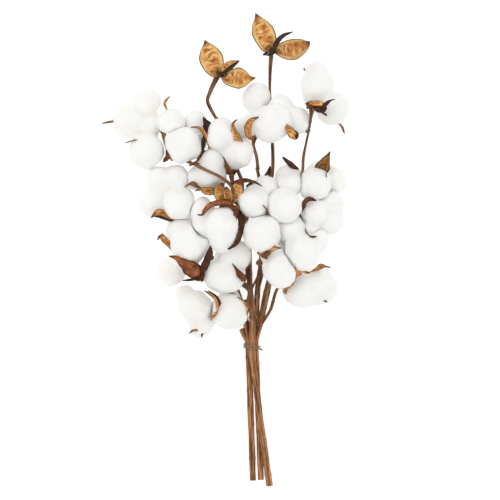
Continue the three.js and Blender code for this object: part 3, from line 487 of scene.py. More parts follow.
PODS = {
    "pod_left": dict(
        stalk="front", seat=(-32, 273, 45), axis=(0.1, 0.05, 1),
        twig=[
            (-11, 140, 43.5), (-10, 165, 46), (-14.5, 178, 42), (-18, 196, 33), (-25, 214, 35),
            (-33, 225, 44), (-41, 238, 43), (-44.5, 247, 41), (-42.5, 254, 41), (-36, 268, 41),
        ],
        radii=[1.8, 1.8, 1.7, 1.6, 1.6, 1.7, 1.7, 1.8, 2, 2.8],
        valves=[
            dict(face=(0.1, 0.05, 1), line=[
                (-34, 273.6, 46, 4.5), (-35.5, 275, 46.6, 7), (-37.5, 279, 48, 9.8),
                (-39.3, 283.7, 48, 11.6), (-42, 291, 48, 11.7), (-44.3, 298.5, 49, 8),
                (-45.8, 303, 50, 3.6), (-47, 306.8, 51, 0.5),
            ]),
            dict(face=(0, 0.15, 1), line=[
                (-29, 271.5, 46, 3.6), (-26.5, 270.5, 47, 6), (-23.5, 269.6, 48, 8),
                (-19.5, 269, 48, 9.4), (-12.5, 268.6, 48, 10.8), (-5, 268.2, 49, 7.2), (-1, 268.4, 50, 3),
                (3.5, 269.2, 51, 0.5),
            ]),
            dict(tone=0.5, face=(-0.3, 0.6, 0.74), line=[
                (-30, 276.5, 50, 3.6), (-25, 280.5, 54, 4.6), (-19.5, 283.2, 57, 3.8),
                (-13, 285.5, 60, 0.6),
            ]),
            dict(tone=0.05, face=(-0.4, 0.8, -0.45), line=[
                (-30, 273, 53, 2.6), (-25.5, 275.3, 57, 3), (-20, 279.5, 60, 3.2), (-12.5, 286, 62, 0.6),
            ]),
        ],
    ),
    "pod_right": dict(
        stalk="right", seat=(20, 295, 46), axis=(0.02, 0.16, 1),
        twig=[
            (10.5, 136, 24.7), (17, 155, 24), (20.5, 175, 28), (20.5, 205, 34), (19, 238, 35),
            (18, 252, 39), (18, 273, 42), (19, 290, 42),
        ],
        radii=[1.8, 1.8, 1.8, 1.7, 1.5, 1.4, 1.6, 2.2],
        valves=[
            dict(face=(0.1, 0, 1), line=[
                (18, 297.6, 47, 5), (17.3, 299, 47.5, 7), (15.6, 303, 49, 9.4), (13.2, 309.5, 49, 11),
                (10, 316.5, 49, 11.3), (7, 324.5, 50, 7.3), (5.3, 329.5, 51, 3.3), (3.5, 333.5, 52, 0.5),
            ]),
            dict(tone=0.4, face=(0, -0.1, 1), line=[
                (24, 297, 47, 3.6), (26, 297.2, 48, 5.4), (29, 297.2, 49, 7.4), (33.6, 297.1, 49, 9.4),
                (41.5, 298, 49, 10.5), (49.5, 301, 50, 8), (54.5, 303, 51, 4.6), (57.8, 305.3, 52, 0.5),
            ]),
            dict(tone=0.1, face=(-0.5, 0.7, -0.5), line=[
                (22.3, 298.2, 53, 2.8), (25.8, 305, 57, 4), (31.5, 310.5, 60, 3.6), (40.5, 314.8, 62, 0.5),
            ]),
            dict(tone=0.0, face=(0, 0.3, -1), line=[
                (16, 296, 45.5, 1.4), (13.5, 293.5, 44, 1.5), (11.3, 292.5, 42, 1),
            ]),
        ],
    ),
    "pod_centre": dict(
        stalk="front", seat=(-16, 150, 49), axis=(-0.15, 0.3, 0.94),
        twig=[(-10, 138, 43), (-14, 146, 44)],
        radii=[1.8, 2.2],
        valves=[
            dict(tone=0.6, face=(0.45, -0.1, 0.88), line=[
                (-24, 146.5, 53, 4.6), (-28.5, 149, 58, 7), (-31.5, 154, 60, 8), (-31.5, 160, 61, 6),
                (-28.5, 164, 62, 1.4),
            ]),
            dict(tone=0.6, face=(-0.35, -0.1, 0.93), line=[
                (-19.5, 148, 53, 4.5), (-16.5, 152, 58, 6), (-14.5, 157, 61, 6.4),
                (-13.6, 161.5, 62, 5.2), (-12.6, 165, 62, 1.6),
            ]),
            # This third valve, darkened by its low tone, is laid over the pod's hollow to stand in for the
            # shade inside it: painted shade.
            dict(tone=0.25, face=(0.1, -0.2, 0.97), line=[
                (-22, 144.5, 60, 3.2), (-23.5, 149, 63, 4.6), (-24.3, 153.5, 65, 4.4),
                (-25.3, 157.5, 65.5, 3), (-26, 160.5, 65, 0.8),
            ]),
        ],
    ),
}
STALK_SIDES, TWIG_SIDES = 22, 12
STALK_STEP, TWIG_STEP = 1.8 * MM, 1.3 * MM
RIDGES = ((5, 0.055), (8, 0.04), (13, 0.028))  # number round the bark, and height by its radius
RIDGE_WANDER, WANDER_LENGTH = 0.9, 19 * MM  # how far a ridge turns to and fro, and over what length
RIDGE_FADE, FADE_LENGTH = 0.35, 11 * MM  # how much it comes and goes
BOW_HEIGHT, BOW_LENGTH = 0.05, 7 * MM  # of the broad unevenness of a limb
RIDGE_TINT = 4  # how fast the bark's colour follows its height
NODE_SPACING = 34 * MM  # between the rings that fallen leaves left
NODE_LENGTH = 1.6 * MM
NODE_HEIGHT = 0.11
CUT_BEVEL = 0.35 * MM
CUT_DEPTH = 0.1  # of the bevel, in steps of the limb
CUT_RADIUS = 2  # mm; a thinner stub withered to a point and shows no cut
CREASE_ANGLE = math.radians(50)
BARK_DARK, BARK_MID, BARK_PALE = (0.035, 0.012, 0.005), (0.235, 0.112, 0.05), (0.55, 0.31, 0.165)
HANDLE_TONE, UPPER_TONE = (1.42, 1.4, 1.42), (0.78, 0.82, 0.92)  # below the tie, and above it
PALE_TO_DARK = 60 * MM  # the length over which the one tone becomes the other
FURROW_TONE, RIDGE_TONE = (0.42, 0.36, 0.33), (1.45, 1.38, 1.3)
CUT_WOOD = (0.36, 0.24, 0.15)


def head_places():
    """Seat, axis and middle of every boll and pod, in metres."""
    places = {}
    for name, head in {**BOLLS, **PODS}.items():
        seat = at(head["seat"])
        if "locks" in head:
            middle = sum((at(lock) for lock in head["locks"]), Vector()) / len(head["locks"])
        else:
            middle = seat
        axis = Vector(head["axis"]) if "axis" in head else middle - seat
        axis.normalize()
        places[name] = dict(seat=seat, axis=axis, middle=middle)
    return places


PLACES = head_places()


def run_along(points, power):
    """How far each point is along the line through them, with each stretch raised to a power."""
    stretches = np.linalg.norm(np.diff(points[:, :3], axis=0), axis=1)
    return np.concatenate(([0], np.cumsum(stretches**power)))


def smooth_route(points, step, samples=24):
    """Points a step apart on a centripetal Catmull-Rom curve, each one's place in the list, and
    how far along the curve it is. A fourth number, such as a half-width, is smoothed with them."""
    p = [points[0] * 2 - points[1], *points, points[-1] * 2 - points[-2]]
    p = np.array([list(v) for v in p])
    knots = run_along(p, 0.5)
    curve, place = [], []
    for i in range(1, len(p) - 2):
        t0, t1, t2, t3 = knots[i - 1 : i + 3]
        t = np.linspace(t1, t2, samples, endpoint=False)[:, None]
        a1 = ((t1 - t) * p[i - 1] + (t - t0) * p[i]) / (t1 - t0)
        a2 = ((t2 - t) * p[i] + (t - t1) * p[i + 1]) / (t2 - t1)
        a3 = ((t3 - t) * p[i + 1] + (t - t2) * p[i + 2]) / (t3 - t2)
        b1 = ((t2 - t) * a1 + (t - t0) * a2) / (t2 - t0)
        b2 = ((t3 - t) * a2 + (t - t1) * a3) / (t3 - t1)
        curve.append(((t2 - t) * b1 + (t - t1) * b2) / (t2 - t1))
        place.append(i - 1 + (t[:, 0] - t1) / (t2 - t1))
    curve = np.vstack([*curve, p[-2]])
    place = np.concatenate([*place, [len(points) - 1]])
    length = run_along(curve, 1)
    even = np.linspace(0, length[-1], max(4, round(length[-1] / step)) + 1)
    spread = [np.interp(even, length, column) for column in curve.T]
    return np.stack(spread, axis=1), np.interp(even, length, place), even


def set_attribute(mesh, name, values):
    """Stores a number or a vector for each vertex, for the mesh's material."""
    values = np.asarray(values, dtype=np.float32)
    kind = "FLOAT" if values.ndim == 1 else "FLOAT_VECTOR"
    layer = mesh.attributes.new(name, kind, "POINT")
    layer.data.foreach_set("value" if values.ndim == 1 else "vector", values.ravel())


def vertices_of(mesh):
    places = np.empty(len(mesh.vertices) * 3)
    mesh.vertices.foreach_get("co", places)
    return places.reshape(-1, 3)


def set_vertices(mesh, places):
    mesh.vertices.foreach_set("co", np.asarray(places, dtype=np.float32).ravel())
    mesh.update()


def add_object(name, data):
    piece = bpy.data.objects.new(name, data)
    bpy.context.collection.objects.link(piece)
    return piece


def tube(name, centres, radii, sides):
    """A closed round tube through the centres: a bevelled curve made a mesh, ring after ring."""
    data = bpy.data.curves.new(name, "CURVE")
    data.dimensions = "3D"
    data.bevel_depth = 1
    data.bevel_resolution = (sides - 4) // 2
    line = data.splines.new("POLY")
    line.points.add(len(centres) - 1)
    for point, centre, radius in zip(line.points, centres, radii):
        point.co = (*centre, 1)
        point.radius = radius
    piece = add_object(name, data)
    bpy.ops.object.select_all(action="DESELECT")
    piece.select_set(True)
    bpy.context.view_layer.objects.active = piece
    bpy.ops.object.convert(target="MESH")
    bpy.ops.object.mode_set(mode="EDIT")
    bpy.ops.mesh.select_all(action="SELECT")
    bpy.ops.mesh.fill_holes(sides=0)
    bpy.ops.mesh.select_all(action="SELECT")
    bpy.ops.mesh.normals_make_consistent(inside=False)
    bpy.ops.object.mode_set(mode="OBJECT")
    return bpy.context.object


def join(pieces, name):
    """Joins pieces into the first one, under a new name."""
    bpy.ops.object.select_all(action="DESELECT")
    for piece in pieces:
        piece.select_set(True)
    bpy.context.view_layer.objects.active = pieces[0]
    if len(pieces) > 1:
        bpy.ops.object.join()
    pieces[0].name = name
    pieces[0].data.name = name
    return pieces[0]


def phase(rng):
    """Where a wave starts, so that no two waves run alike."""
    return rng.uniform(0, 6)


def limb(route, radii, sides, step, seed, cut_start=False, cut_end=False):
    """A bark-covered limb: a tube with ridges along it, rings at its leaf nodes and plain cuts."""
    rng = random.Random(seed)
    centres, place, along = smooth_route(route, step)
    size = np.interp(place, range(len(radii)), radii) * MM
    fraction = np.abs((along / NODE_SPACING + rng.random()) % 1 - 0.5) * NODE_SPACING
    size = size * (1 + NODE_HEIGHT * np.exp(-((fraction / NODE_LENGTH) ** 2)))
    bare = np.zeros(len(size))
    if cut_start:
        centres = np.vstack([centres[0] + (centres[0] - centres[1]) * CUT_DEPTH, centres])
        size = np.concatenate([[size[0] - CUT_BEVEL], size])
        along, bare = np.concatenate([[0], along]), np.concatenate([[1], bare])
    if cut_end:
        centres = np.vstack([centres, centres[-1] + (centres[-1] - centres[-2]) * CUT_DEPTH])
        size = np.concatenate([size, [size[-1] - CUT_BEVEL]])
        along, bare = np.concatenate([along, [along[-1]]]), np.concatenate([bare, [1]])
    piece = tube("limb", centres, size, sides)
    mesh = piece.data
    rings = vertices_of(mesh).reshape(len(centres), sides, 3)
    turn = np.linspace(0, 2 * math.pi, sides, endpoint=False)[None, :]
    run = along[:, None]
    swell = np.zeros((len(centres), sides))
    for count, height in RIDGES:
        wander = RIDGE_WANDER * np.sin(run / WANDER_LENGTH + phase(rng)) + phase(rng)
        pace = rng.uniform(0.8, 1.2)
        fade = 1 - RIDGE_FADE + RIDGE_FADE * np.sin(run / FADE_LENGTH * pace + phase(rng))
        swell += height * fade * np.sin(count * turn + wander)
    swell += BOW_HEIGHT * np.sin(run / BOW_LENGTH + 2 * turn + phase(rng))
    swell *= 1 - bare[:, None]
    rings = centres[:, None, :] + (rings - centres[:, None, :]) * (1 + swell[:, :, None])
    set_vertices(mesh, rings.reshape(-1, 3))
    round_bark = np.cos(turn) * size[:, None], np.sin(turn) * size[:, None]
    grain = np.stack(np.broadcast_arrays(*round_bark, run), axis=2)
    grain[:, :, 2] += rng.random()
    set_attribute(mesh, "grain", grain.reshape(-1, 3))
    set_attribute(mesh, "bare", np.repeat(bare, sides))
    set_attribute(mesh, "ridge", np.clip(0.5 + swell * RIDGE_TINT, 0, 1).ravel())
    return piece


def link(tree, source, target):
    tree.links.new(source, target)


def colour_ramp(tree, factor, stops):
    """A ramp from a list of (position, colour)."""
    ramp = tree.nodes.new("ShaderNodeValToRGB")
    elements = ramp.color_ramp.elements
    while len(elements) < len(stops):
        elements.new(0.5)
    for element, (position, colour) in zip(elements, stops):
        element.position = position
        element.color = (*colour, 1)
    link(tree, factor, ramp.inputs["Fac"])
    return ramp.outputs["Color"]


def attribute(tree, name, output="Fac"):
    node = tree.nodes.new("ShaderNodeAttribute")
    node.attribute_name = name
    return node.outputs[output]


def stretched(tree, vector, scale):
    """Coordinates with a scale of their own along each axis."""
    node = tree.nodes.new("ShaderNodeMapping")
    node.inputs["Scale"].default_value = scale
    link(tree, vector, node.inputs["Vector"])
    return node.outputs["Vector"]


def object_place(tree):
    return tree.nodes.new("ShaderNodeTexCoord").outputs["Object"]


def noise_texture(tree, vector, scale, detail, roughness):
    node = tree.nodes.new("ShaderNodeTexNoise")
    node.inputs["Scale"].default_value = scale
    node.inputs["Detail"].default_value = detail
    node.inputs["Roughness"].default_value = roughness
    link(tree, vector, node.inputs["Vector"])
    return node.outputs["Fac"]


def mix_colour(tree, factor, first, second, blend="MIX"):
    """Mixes two colours; the factor and either colour may be a socket or a value."""
    node = tree.nodes.new("ShaderNodeMix")
    node.data_type = "RGBA"
    node.blend_type = blend
    sockets = node.inputs[0], node.inputs[6], node.inputs[7]  # those that it has for colours
    for socket, value in zip(sockets, (factor, first, second)):
        if isinstance(value, bpy.types.NodeSocket):
            link(tree, value, socket)
        elif isinstance(value, tuple):
            socket.default_value = (*value, 1)
        else:
            socket.default_value = value
    return node.outputs[2]


def arithmetic(tree, operation, first, second, clamp=False):
    node = tree.nodes.new("ShaderNodeMath")
    node.operation = operation
    node.use_clamp = clamp
    for socket, value in zip(node.inputs, (first, second)):
        if isinstance(value, bpy.types.NodeSocket):
            link(tree, value, socket)
        else:
            socket.default_value = value
    return node.outputs[0]


def times(tree, first, second):
    return arithmetic(tree, "MULTIPLY", first, second)


def plus(tree, first, second):
    return arithmetic(tree, "ADD", first, second)


def bump(tree, shader, height, distance, strength):
    node = tree.nodes.new("ShaderNodeBump")
    node.inputs["Distance"].default_value = distance
    node.inputs["Strength"].default_value = strength
    link(tree, height, node.inputs["Height"])
    link(tree, node.outputs["Normal"], shader.inputs["Normal"])


bark, tree, shader = new_material("bark", 0.8)
grain = attribute(tree, "grain", "Vector")
fibres = noise_texture(tree, stretched(tree, grain, (1, 1, 0.07)), 1500, 5, 0.65)
bands = noise_texture(tree, stretched(tree, grain, (1, 1, 0.05)), 640, 3, 0.5)
patches = noise_texture(tree, stretched(tree, grain, (1, 1, 0.3)), 180, 3, 0.5)
grown = plus(tree, times(tree, fibres, 0.5), times(tree, bands, 0.5))
streaks = colour_ramp(tree, grown, [(0.38, BARK_DARK), (0.5, BARK_MID), (0.62, BARK_PALE)])
ridged = mix_colour(tree, attribute(tree, "ridge"), FURROW_TONE, RIDGE_TONE)
tinted = mix_colour(tree, 1.0, streaks, ridged, "MULTIPLY")
parts = tree.nodes.new("ShaderNodeSeparateXYZ")
link(tree, object_place(tree), parts.inputs["Vector"])
above_tie = arithmetic(tree, "SUBTRACT", parts.outputs["Y"], at((0, 0, 0)).y)
share = arithmetic(tree, "DIVIDE", above_tie, PALE_TO_DARK, clamp=True)
tone = mix_colour(tree, share, HANDLE_TONE, UPPER_TONE)
weathered = mix_colour(tree, 1.0, tinted, tone, "MULTIPLY")
aged = mix_colour(tree, times(tree, patches, 0.3), weathered, BARK_MID)
whole = mix_colour(tree, attribute(tree, "bare"), aged, CUT_WOOD)
link(tree, whole, shader.inputs["Base Color"])
shader.inputs["Specular IOR Level"].default_value = 0.15
bump(tree, shader, fibres, 0.35 * MM, 0.9)

for number, (name, stalk) in enumerate(STALKS.items()):
    route = [at(p) for p in stalk["route"]]
    limbs = [limb(route, stalk["radii"], STALK_SIDES, STALK_STEP, 100 * number, cut_start=True)]
    for k, stub in enumerate(stalk["stubs"]):
        cut = stub["radii"][-1] > CUT_RADIUS
        route = [at(p) for p in stub["route"]]
        seed = 100 * number + k + 1
        limbs.append(limb(route, stub["radii"], STALK_SIDES, STALK_STEP, seed, cut_end=cut))
    for k, (head_name, head) in enumerate({**BOLLS, **PODS}.items()):
        if head["stalk"] != name:
            continue
        seat, axis = PLACES[head_name]["seat"], PLACES[head_name]["axis"]
        ends = [seat - axis * (SEAT_GAP + KNOB_LENGTH) * MM, seat - axis * SEAT_GAP * MM]
        route = [at(p) for p in head["twig"]] + ends
        radii = head.get("radii", [TWIG_RADIUS] * len(head["twig"])) + [TWIG_RADIUS, KNOB_RADIUS]
        limbs.append(limb(route, radii, TWIG_SIDES, TWIG_STEP, 1000 + k))
    piece = join(limbs, f"stalk_{name}_bark")
    piece.data.materials.append(bark)
    bpy.ops.object.shade_smooth_by_angle(angle=CREASE_ANGLE)
    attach(piece, "root")
    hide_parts(f"stalk_{name}")


# Burrs
# The dry woody case under each boll: a cup that split into pointed valves as the cotton
# swelled, golden and ribbed inside and wrinkled dark brown outside. It grew on the twig's end.
CALYX_HEIGHT = 5  # mm, as are the sizes below
CALYX_RADIUS = 6.2
CALYX_FOOT = KNOB_RADIUS + 0.6
CALYX_PROFILE = (  # radius and height, from the foot out, up and in over the top
    (5.0, 1.0), (6.0, 2.6), (6.5, 4.2), (6.1, 5.0), (4.2, 4.7), (0.6, 4.3),
)
CALYX_RIM = 4.6  # height of its uneven edge
CALYX_TOP = 5  # radius inside which its top is level
CALYX_LOBES, LOBE_HEIGHT = 5, 1.7
PLEAT_DEPTH = 0.035  # of the folds in its side, by its radius
VALVE_THICKNESS = 0.9
VALVES = 4  # of a burr; those that aren't listed are short and stay under the cotton
VALVE_MIDLINE = (  # height, reach and half-width
    (5, 8.5, 4), (9, 12, 6), (13, 14, 4), (16.5, 13.5, 0.5),
)
SHORT_VALVE_TONE = 0.3
VALVE_CUP = 0.3  # how far its edges wrap the lock that it holds, as a share of its half-width
VALVE_CLEARANCE = 0.9  # from the cotton that its inner face lies on
VALVE_FOOT = 1.2, 3.2  # least and greatest half-width of its root in the cup
RIB_HEIGHT = 0.12
RIBS = 11  # from its foot to its point
WRINKLE_HEIGHT = 0.132
FULL_RELIEF = 4  # half-width from which its ribs and wrinkles stand at their full height
SEPTUM_HEIGHT = 0.9  # the thin wall down the middle of its inner face
SEPTUM_WIDTH, SEPTUM_LENGTH = 0.09, 0.8  # as shares of the valve's
RIM_START = 0.72  # where its rolled rim begins, as a share of its half-width
LEAST_HALF_WIDTH = 0.2
LEAST_HEIGHT = 0.15  # of any of it above the floor
BRACTS = 3  # stubs of the leaves that once wrapped the boll
BRACT_ROOT = 1.2, 3.2  # its height on the cup, and its distance from the cup's axis
BRACT_REACH, BRACT_RISE = (4.5, 7.5), (-3, 2)  # of its point, from its root
BRACT_BEND = 2.5  # sideways, at most
BRACT_HALF_WIDTH = 0.9, 1.6
BRACT_THICKNESS = 0.4
BRACT_CUP = 0.5
BRACT_TONE = 0.2
FOLD_ANGLE = math.radians(55)
LOCK_STRETCH = 1.1  # of the cotton: length over width
LOCK_WAIST = 0.2  # how much it narrows towards the seat
LOCK_FULLNESS = 1.05
HEART_SIZE = 0.95  # of the lint between the locks, as a share of the smallest lock
HEART_PLACE = 0.75  # from the seat towards the middle of the locks
CREASE = 4.5 * MM  # over which two locks of a boll blend
BURR_GOLD = (0.22, 0.075, 0.016), (0.58, 0.25, 0.055), (0.9, 0.52, 0.18)  # dark, middle, pale
BURR_HUSK = (0.06, 0.017, 0.006), (0.26, 0.078, 0.024), (0.52, 0.215, 0.09)
RIM_DARK = (0.035, 0.013, 0.006)
BLUSH = (0.8, 0.55, 0.5)  # share of the middle gold left in the redder patches
# Multipliers on a valve's colour by its tone: partly the valves' own differences in colour, and partly
# painted shade, where a low tone darkens a valve that lies in shadow.
VALVE_TONE_AND_SHADE = [(0.0, (0.22, 0.2, 0.19)), (0.3, (0.62, 0.55, 0.49)), (1.0, (1.35, 1.3, 1.25))]


def lock_list(name, boll):
    """Centre, radius and outward direction of a boll's locks and of the heart between them."""
    seat, middle = np.array(PLACES[name]["seat"]), np.array(PLACES[name]["middle"])
    locks = []
    for lock in boll["locks"]:
        centre = np.array(at(lock))
        out = centre - seat
        locks.append((centre, lock[3] * LOCK_FULLNESS * MM, out / np.linalg.norm(out)))
    heart = seat + (middle - seat) * HEART_PLACE
    smallest = min(lock[3] for lock in boll["locks"]) * HEART_SIZE * MM
    locks.append((heart, smallest, np.array(PLACES[name]["axis"])))
    return locks


def beyond(points, locks):
    """How far points lie outside the nearest lock, with the creases between locks filled a little."""
    nearest = np.full(len(points), 1.0)
    for centre, radius, out in locks:
        offset = points - centre
        up = offset @ out
        across = np.linalg.norm(offset - up[:, None] * out, axis=1)
        waist = 1 - LOCK_WAIST * np.clip(-up / radius, 0, 1) ** 2
        far = np.hypot(across / waist, up / LOCK_STRETCH) - radius
        overlap = np.clip(1 - np.abs(nearest - far) / CREASE, 0, 1)
        nearest = np.minimum(nearest, far) - overlap**2 * CREASE / 4
    return nearest


def slope_of(field, points, reach):
    """A field's value at points, and how fast it rises there along X, Y and Z."""
    value = field(points)
    rises = [(field(points + reach * axis) - value) / reach for axis in np.eye(3)]
    return value, np.stack(rises, axis=1)


def step_out(points, locks, clear):
    """Moves points that are nearer than the clearance to the locks straight out of them."""
    for _ in range(6):
        value, slope = slope_of(lambda p: beyond(p, locks), points, 0.3 * MM)
        slope /= np.maximum(np.linalg.norm(slope, axis=1), 0.3)[:, None]
        points = points + slope * np.clip(clear - value, 0, 3 * MM)[:, None]
    return points


def burr_valves(seat, axis, listed, wanted):
    """Midline, inner direction and tone of each valve: the listed ones, and short ones, with no
    tone of their own, in the widest gaps between them."""
    across = axis.orthogonal().normalized()
    other = axis.cross(across)
    valves, angles = [], []
    for valve in listed:
        line = [Vector((*at(p), p[3] * MM)) for p in valve["line"]]
        away = line[0].xyz - seat
        angles.append(math.atan2(away.dot(other), away.dot(across)))
        valves.append((line, Vector(valve["face"]).normalized(), valve.get("tone", 0.6)))
    while len(valves) < wanted:
        ordered = sorted(angles) or [0.6]
        following = ordered[1:] + [ordered[0] + 2 * math.pi]
        gaps = [after - before for before, after in zip(ordered, following)]
        widest = gaps.index(max(gaps))
        angle = ordered[widest] + gaps[widest] / 2
        angles.append(math.atan2(math.sin(angle), math.cos(angle)))
        out = across * math.cos(angle) + other * math.sin(angle)
        line = [
            Vector((*(seat + (axis * up + out * away) * MM), half * MM))
            for up, away, half in VALVE_MIDLINE
        ]
        valves.append((line, (axis * 0.5 - out).normalized(), None))
    return valves


def apply_modifier(piece, kind, **settings):
    step = piece.modifiers.new(kind.lower(), kind)
    for name, value in settings.items():
        setattr(step, name, value)
    bpy.context.view_layer.objects.active = piece
    bpy.ops.object.modifier_apply(modifier=step.name)


def valve_blank(name, across, along):
    """A flat leaf to bend into valves: two sheets joined at the rim, a metre long and wide."""
    bpy.ops.mesh.primitive_grid_add(x_subdivisions=across, y_subdivisions=along, size=1)
    blank = bpy.context.object
    blank.name = name
    apply_modifier(blank, "SOLIDIFY", thickness=VALVE_THICKNESS * MM, offset=-1)
    return blank


def bend_valve(blank, root, line, face, axis, seed, tone, cup=VALVE_CUP, thickness=VALVE_THICKNESS,
               lip=0.12, ragged=0.04, septum_height=SEPTUM_HEIGHT, cotton=None):
    """A copy of the blank bent along a midline of points with half-widths, with ribs, wrinkles and
    a rolled rim. Its inner face looks along the axis in the cup, then along the given direction."""
    rng = random.Random(seed)
    piece = add_object("valve", blank.data.copy())
    flat = vertices_of(piece.data)
    s, t = flat[:, 0] * 2, flat[:, 1] + 0.5
    outside = (flat[:, 2] < -VALVE_THICKNESS * MM / 2).astype(float)

    centres, place, along = smooth_route([root, *line], 0.5 * MM)
    slopes = np.gradient(centres[:, :3], axis=0)
    run = t * along[-1]
    middle = np.stack([np.interp(run, along, centres[:, k]) for k in range(3)], axis=1)
    tangent = np.stack([np.interp(run, along, slopes[:, k]) for k in range(3)], axis=1)
    tangent /= np.linalg.norm(tangent, axis=1)[:, None]
    width = np.maximum(np.interp(run, along, centres[:, 3]), LEAST_HALF_WIDTH * MM)
    shown = np.interp(run, along, place)[:, None]
    turn = np.clip(shown, 0, 1) ** 2
    inward = np.array(axis) * (1 - turn) + np.array(face) * turn
    inward -= tangent * np.sum(inward * tangent, axis=1)[:, None]
    inward /= np.linalg.norm(inward, axis=1)[:, None]
    side = np.cross(tangent, inward)

    wave = np.sin(t * 31 + phase(rng)) + np.sin(t * 17 * np.sign(s) + phase(rng))
    width = width * (1 + ragged * wave)
    edge = np.clip((np.abs(s) - RIM_START) / (1 - RIM_START), 0, 1)
    full = np.clip(width / (FULL_RELIEF * MM), 0.1, 1)
    wander = 1.3 * np.sin(3.1 * s + phase(rng)) + 0.8 * np.sin(7 * t + phase(rng))
    rib = np.sin(2 * math.pi * RIBS * t + wander) * np.clip(1.6 - 2.2 * np.abs(s), 0, 1)
    septum = np.exp(-((s / SEPTUM_WIDTH) ** 2)) * np.clip(1 - t / SEPTUM_LENGTH, 0, 1)
    dish = cup * width * s**2 - lip * width * edge**2
    inner = dish + RIB_HEIGHT * MM * full * rib + septum_height * MM * septum * full
    wall = thickness * MM * (1 - 0.55 * np.abs(s) ** 5) * (1 - 0.4 * t**3)
    wrinkle = np.sin(9 * s + 5 * t + phase(rng)) * np.sin(13 * t + phase(rng))
    wrinkle += 0.6 * np.sin(21 * s - 7 * t + phase(rng))
    outer = dish - wall + WRINKLE_HEIGHT * MM * full * (1 - edge) * wrinkle
    depth = np.where(outside > 0, outer, inner)
    twist = rng.uniform(-0.2, 0.2) * t
    places = middle + side * (s * width)[:, None] + inward * (depth + twist * s * width)[:, None]
    if cotton and face.z < 0:
        clear = (VALVE_CLEARANCE + outside * thickness) * MM
        places += (step_out(places, cotton, clear) - places) * np.clip(shown * 5 - 4, 0, 1)
    low = (LEAST_HEIGHT + (1 - outside) * thickness * 0.6) * MM
    places[:, 2] = np.maximum(places[:, 2], low)
    set_vertices(piece.data, places)
    set_attribute(piece.data, "leaf", np.stack([s, t, outside], axis=1))
    set_attribute(piece.data, "tone", np.full(len(s), tone + rng.uniform(-0.05, 0.05)))
    return piece


def calyx_blank():
    """A little lobed cup, standing on the origin: a disc extruded ring by ring and closed on top."""
    bpy.ops.mesh.primitive_circle_add(vertices=30, radius=CALYX_FOOT * MM, fill_type="NGON")
    blank = bpy.context.object
    blank.name = "calyx_blank"
    bpy.ops.object.mode_set(mode="EDIT")
    bpy.ops.mesh.select_all(action="SELECT")
    radius, height = CALYX_FOOT, 0
    for next_radius, next_height in CALYX_PROFILE:
        rise = (0, 0, (next_height - height) * MM)
        bpy.ops.mesh.extrude_region_move(TRANSFORM_OT_translate={"value": rise})
        scale = next_radius / radius
        bpy.ops.transform.resize(value=(scale, scale, 1), center_override=(0, 0, next_height * MM))
        radius, height = next_radius, next_height
    bpy.ops.mesh.select_all(action="SELECT")
    bpy.ops.mesh.normals_make_consistent(inside=False)
    bpy.ops.object.mode_set(mode="OBJECT")
    places = vertices_of(blank.data)
    turn = np.arctan2(places[:, 1], places[:, 0])
    away = np.hypot(places[:, 0], places[:, 1])
    rim = np.clip(1 - np.abs(places[:, 2] / MM - CALYX_RIM) / 1.2, 0, 1) * (away > CALYX_TOP * MM)
    lobes = np.abs(np.cos(turn * CALYX_LOBES / 2))
    places[:, 2] += rim * (lobes - 0.4) * LOBE_HEIGHT * MM
    pleats = 1 + PLEAT_DEPTH * np.sin(3 * CALYX_LOBES * turn) * (places[:, 2] > 0)
    places[:, :2] *= pleats[:, None]
    set_vertices(blank.data, places)
    return blank


def calyx(blank, seat, axis, scale, seed):
    """A copy of the cup on its seat, turned to face along the axis."""
    piece = add_object("calyx", blank.data.copy())
    mesh = piece.data
    rng = random.Random(seed)
    stand = Matrix.Translation(seat) @ axis.to_track_quat("Z", "Y").to_matrix().to_4x4()
    mesh.transform(stand @ Matrix.Rotation(phase(rng), 4, "Z") @ Matrix.Scale(scale, 4))
    places = vertices_of(mesh)
    places[:, 2] = np.maximum(places[:, 2], LEAST_HEIGHT * MM)
    set_vertices(mesh, places)
    count = len(mesh.vertices)
    set_attribute(mesh, "leaf", np.tile((0.2, 0.3, 1), (count, 1)))
    set_attribute(mesh, "tone", np.full(count, rng.uniform(0.1, 0.5)))
    return piece


def bract_line(rng, root, out, axis):
    """Middle and point of a bract, with its half-width at each."""
    reach, rise = rng.uniform(*BRACT_REACH), rng.uniform(*BRACT_RISE)
    half = rng.uniform(*BRACT_HALF_WIDTH)
    bend = out.cross(axis) * rng.uniform(-BRACT_BEND, BRACT_BEND) * MM
    middle = root + (out * reach * 0.5 + axis * (rise * 0.5 + 1)) * MM
    point = root + (out * reach + axis * rise) * MM + bend
    return [Vector((*middle, half * MM)), Vector((*point, 0.3 * MM))]


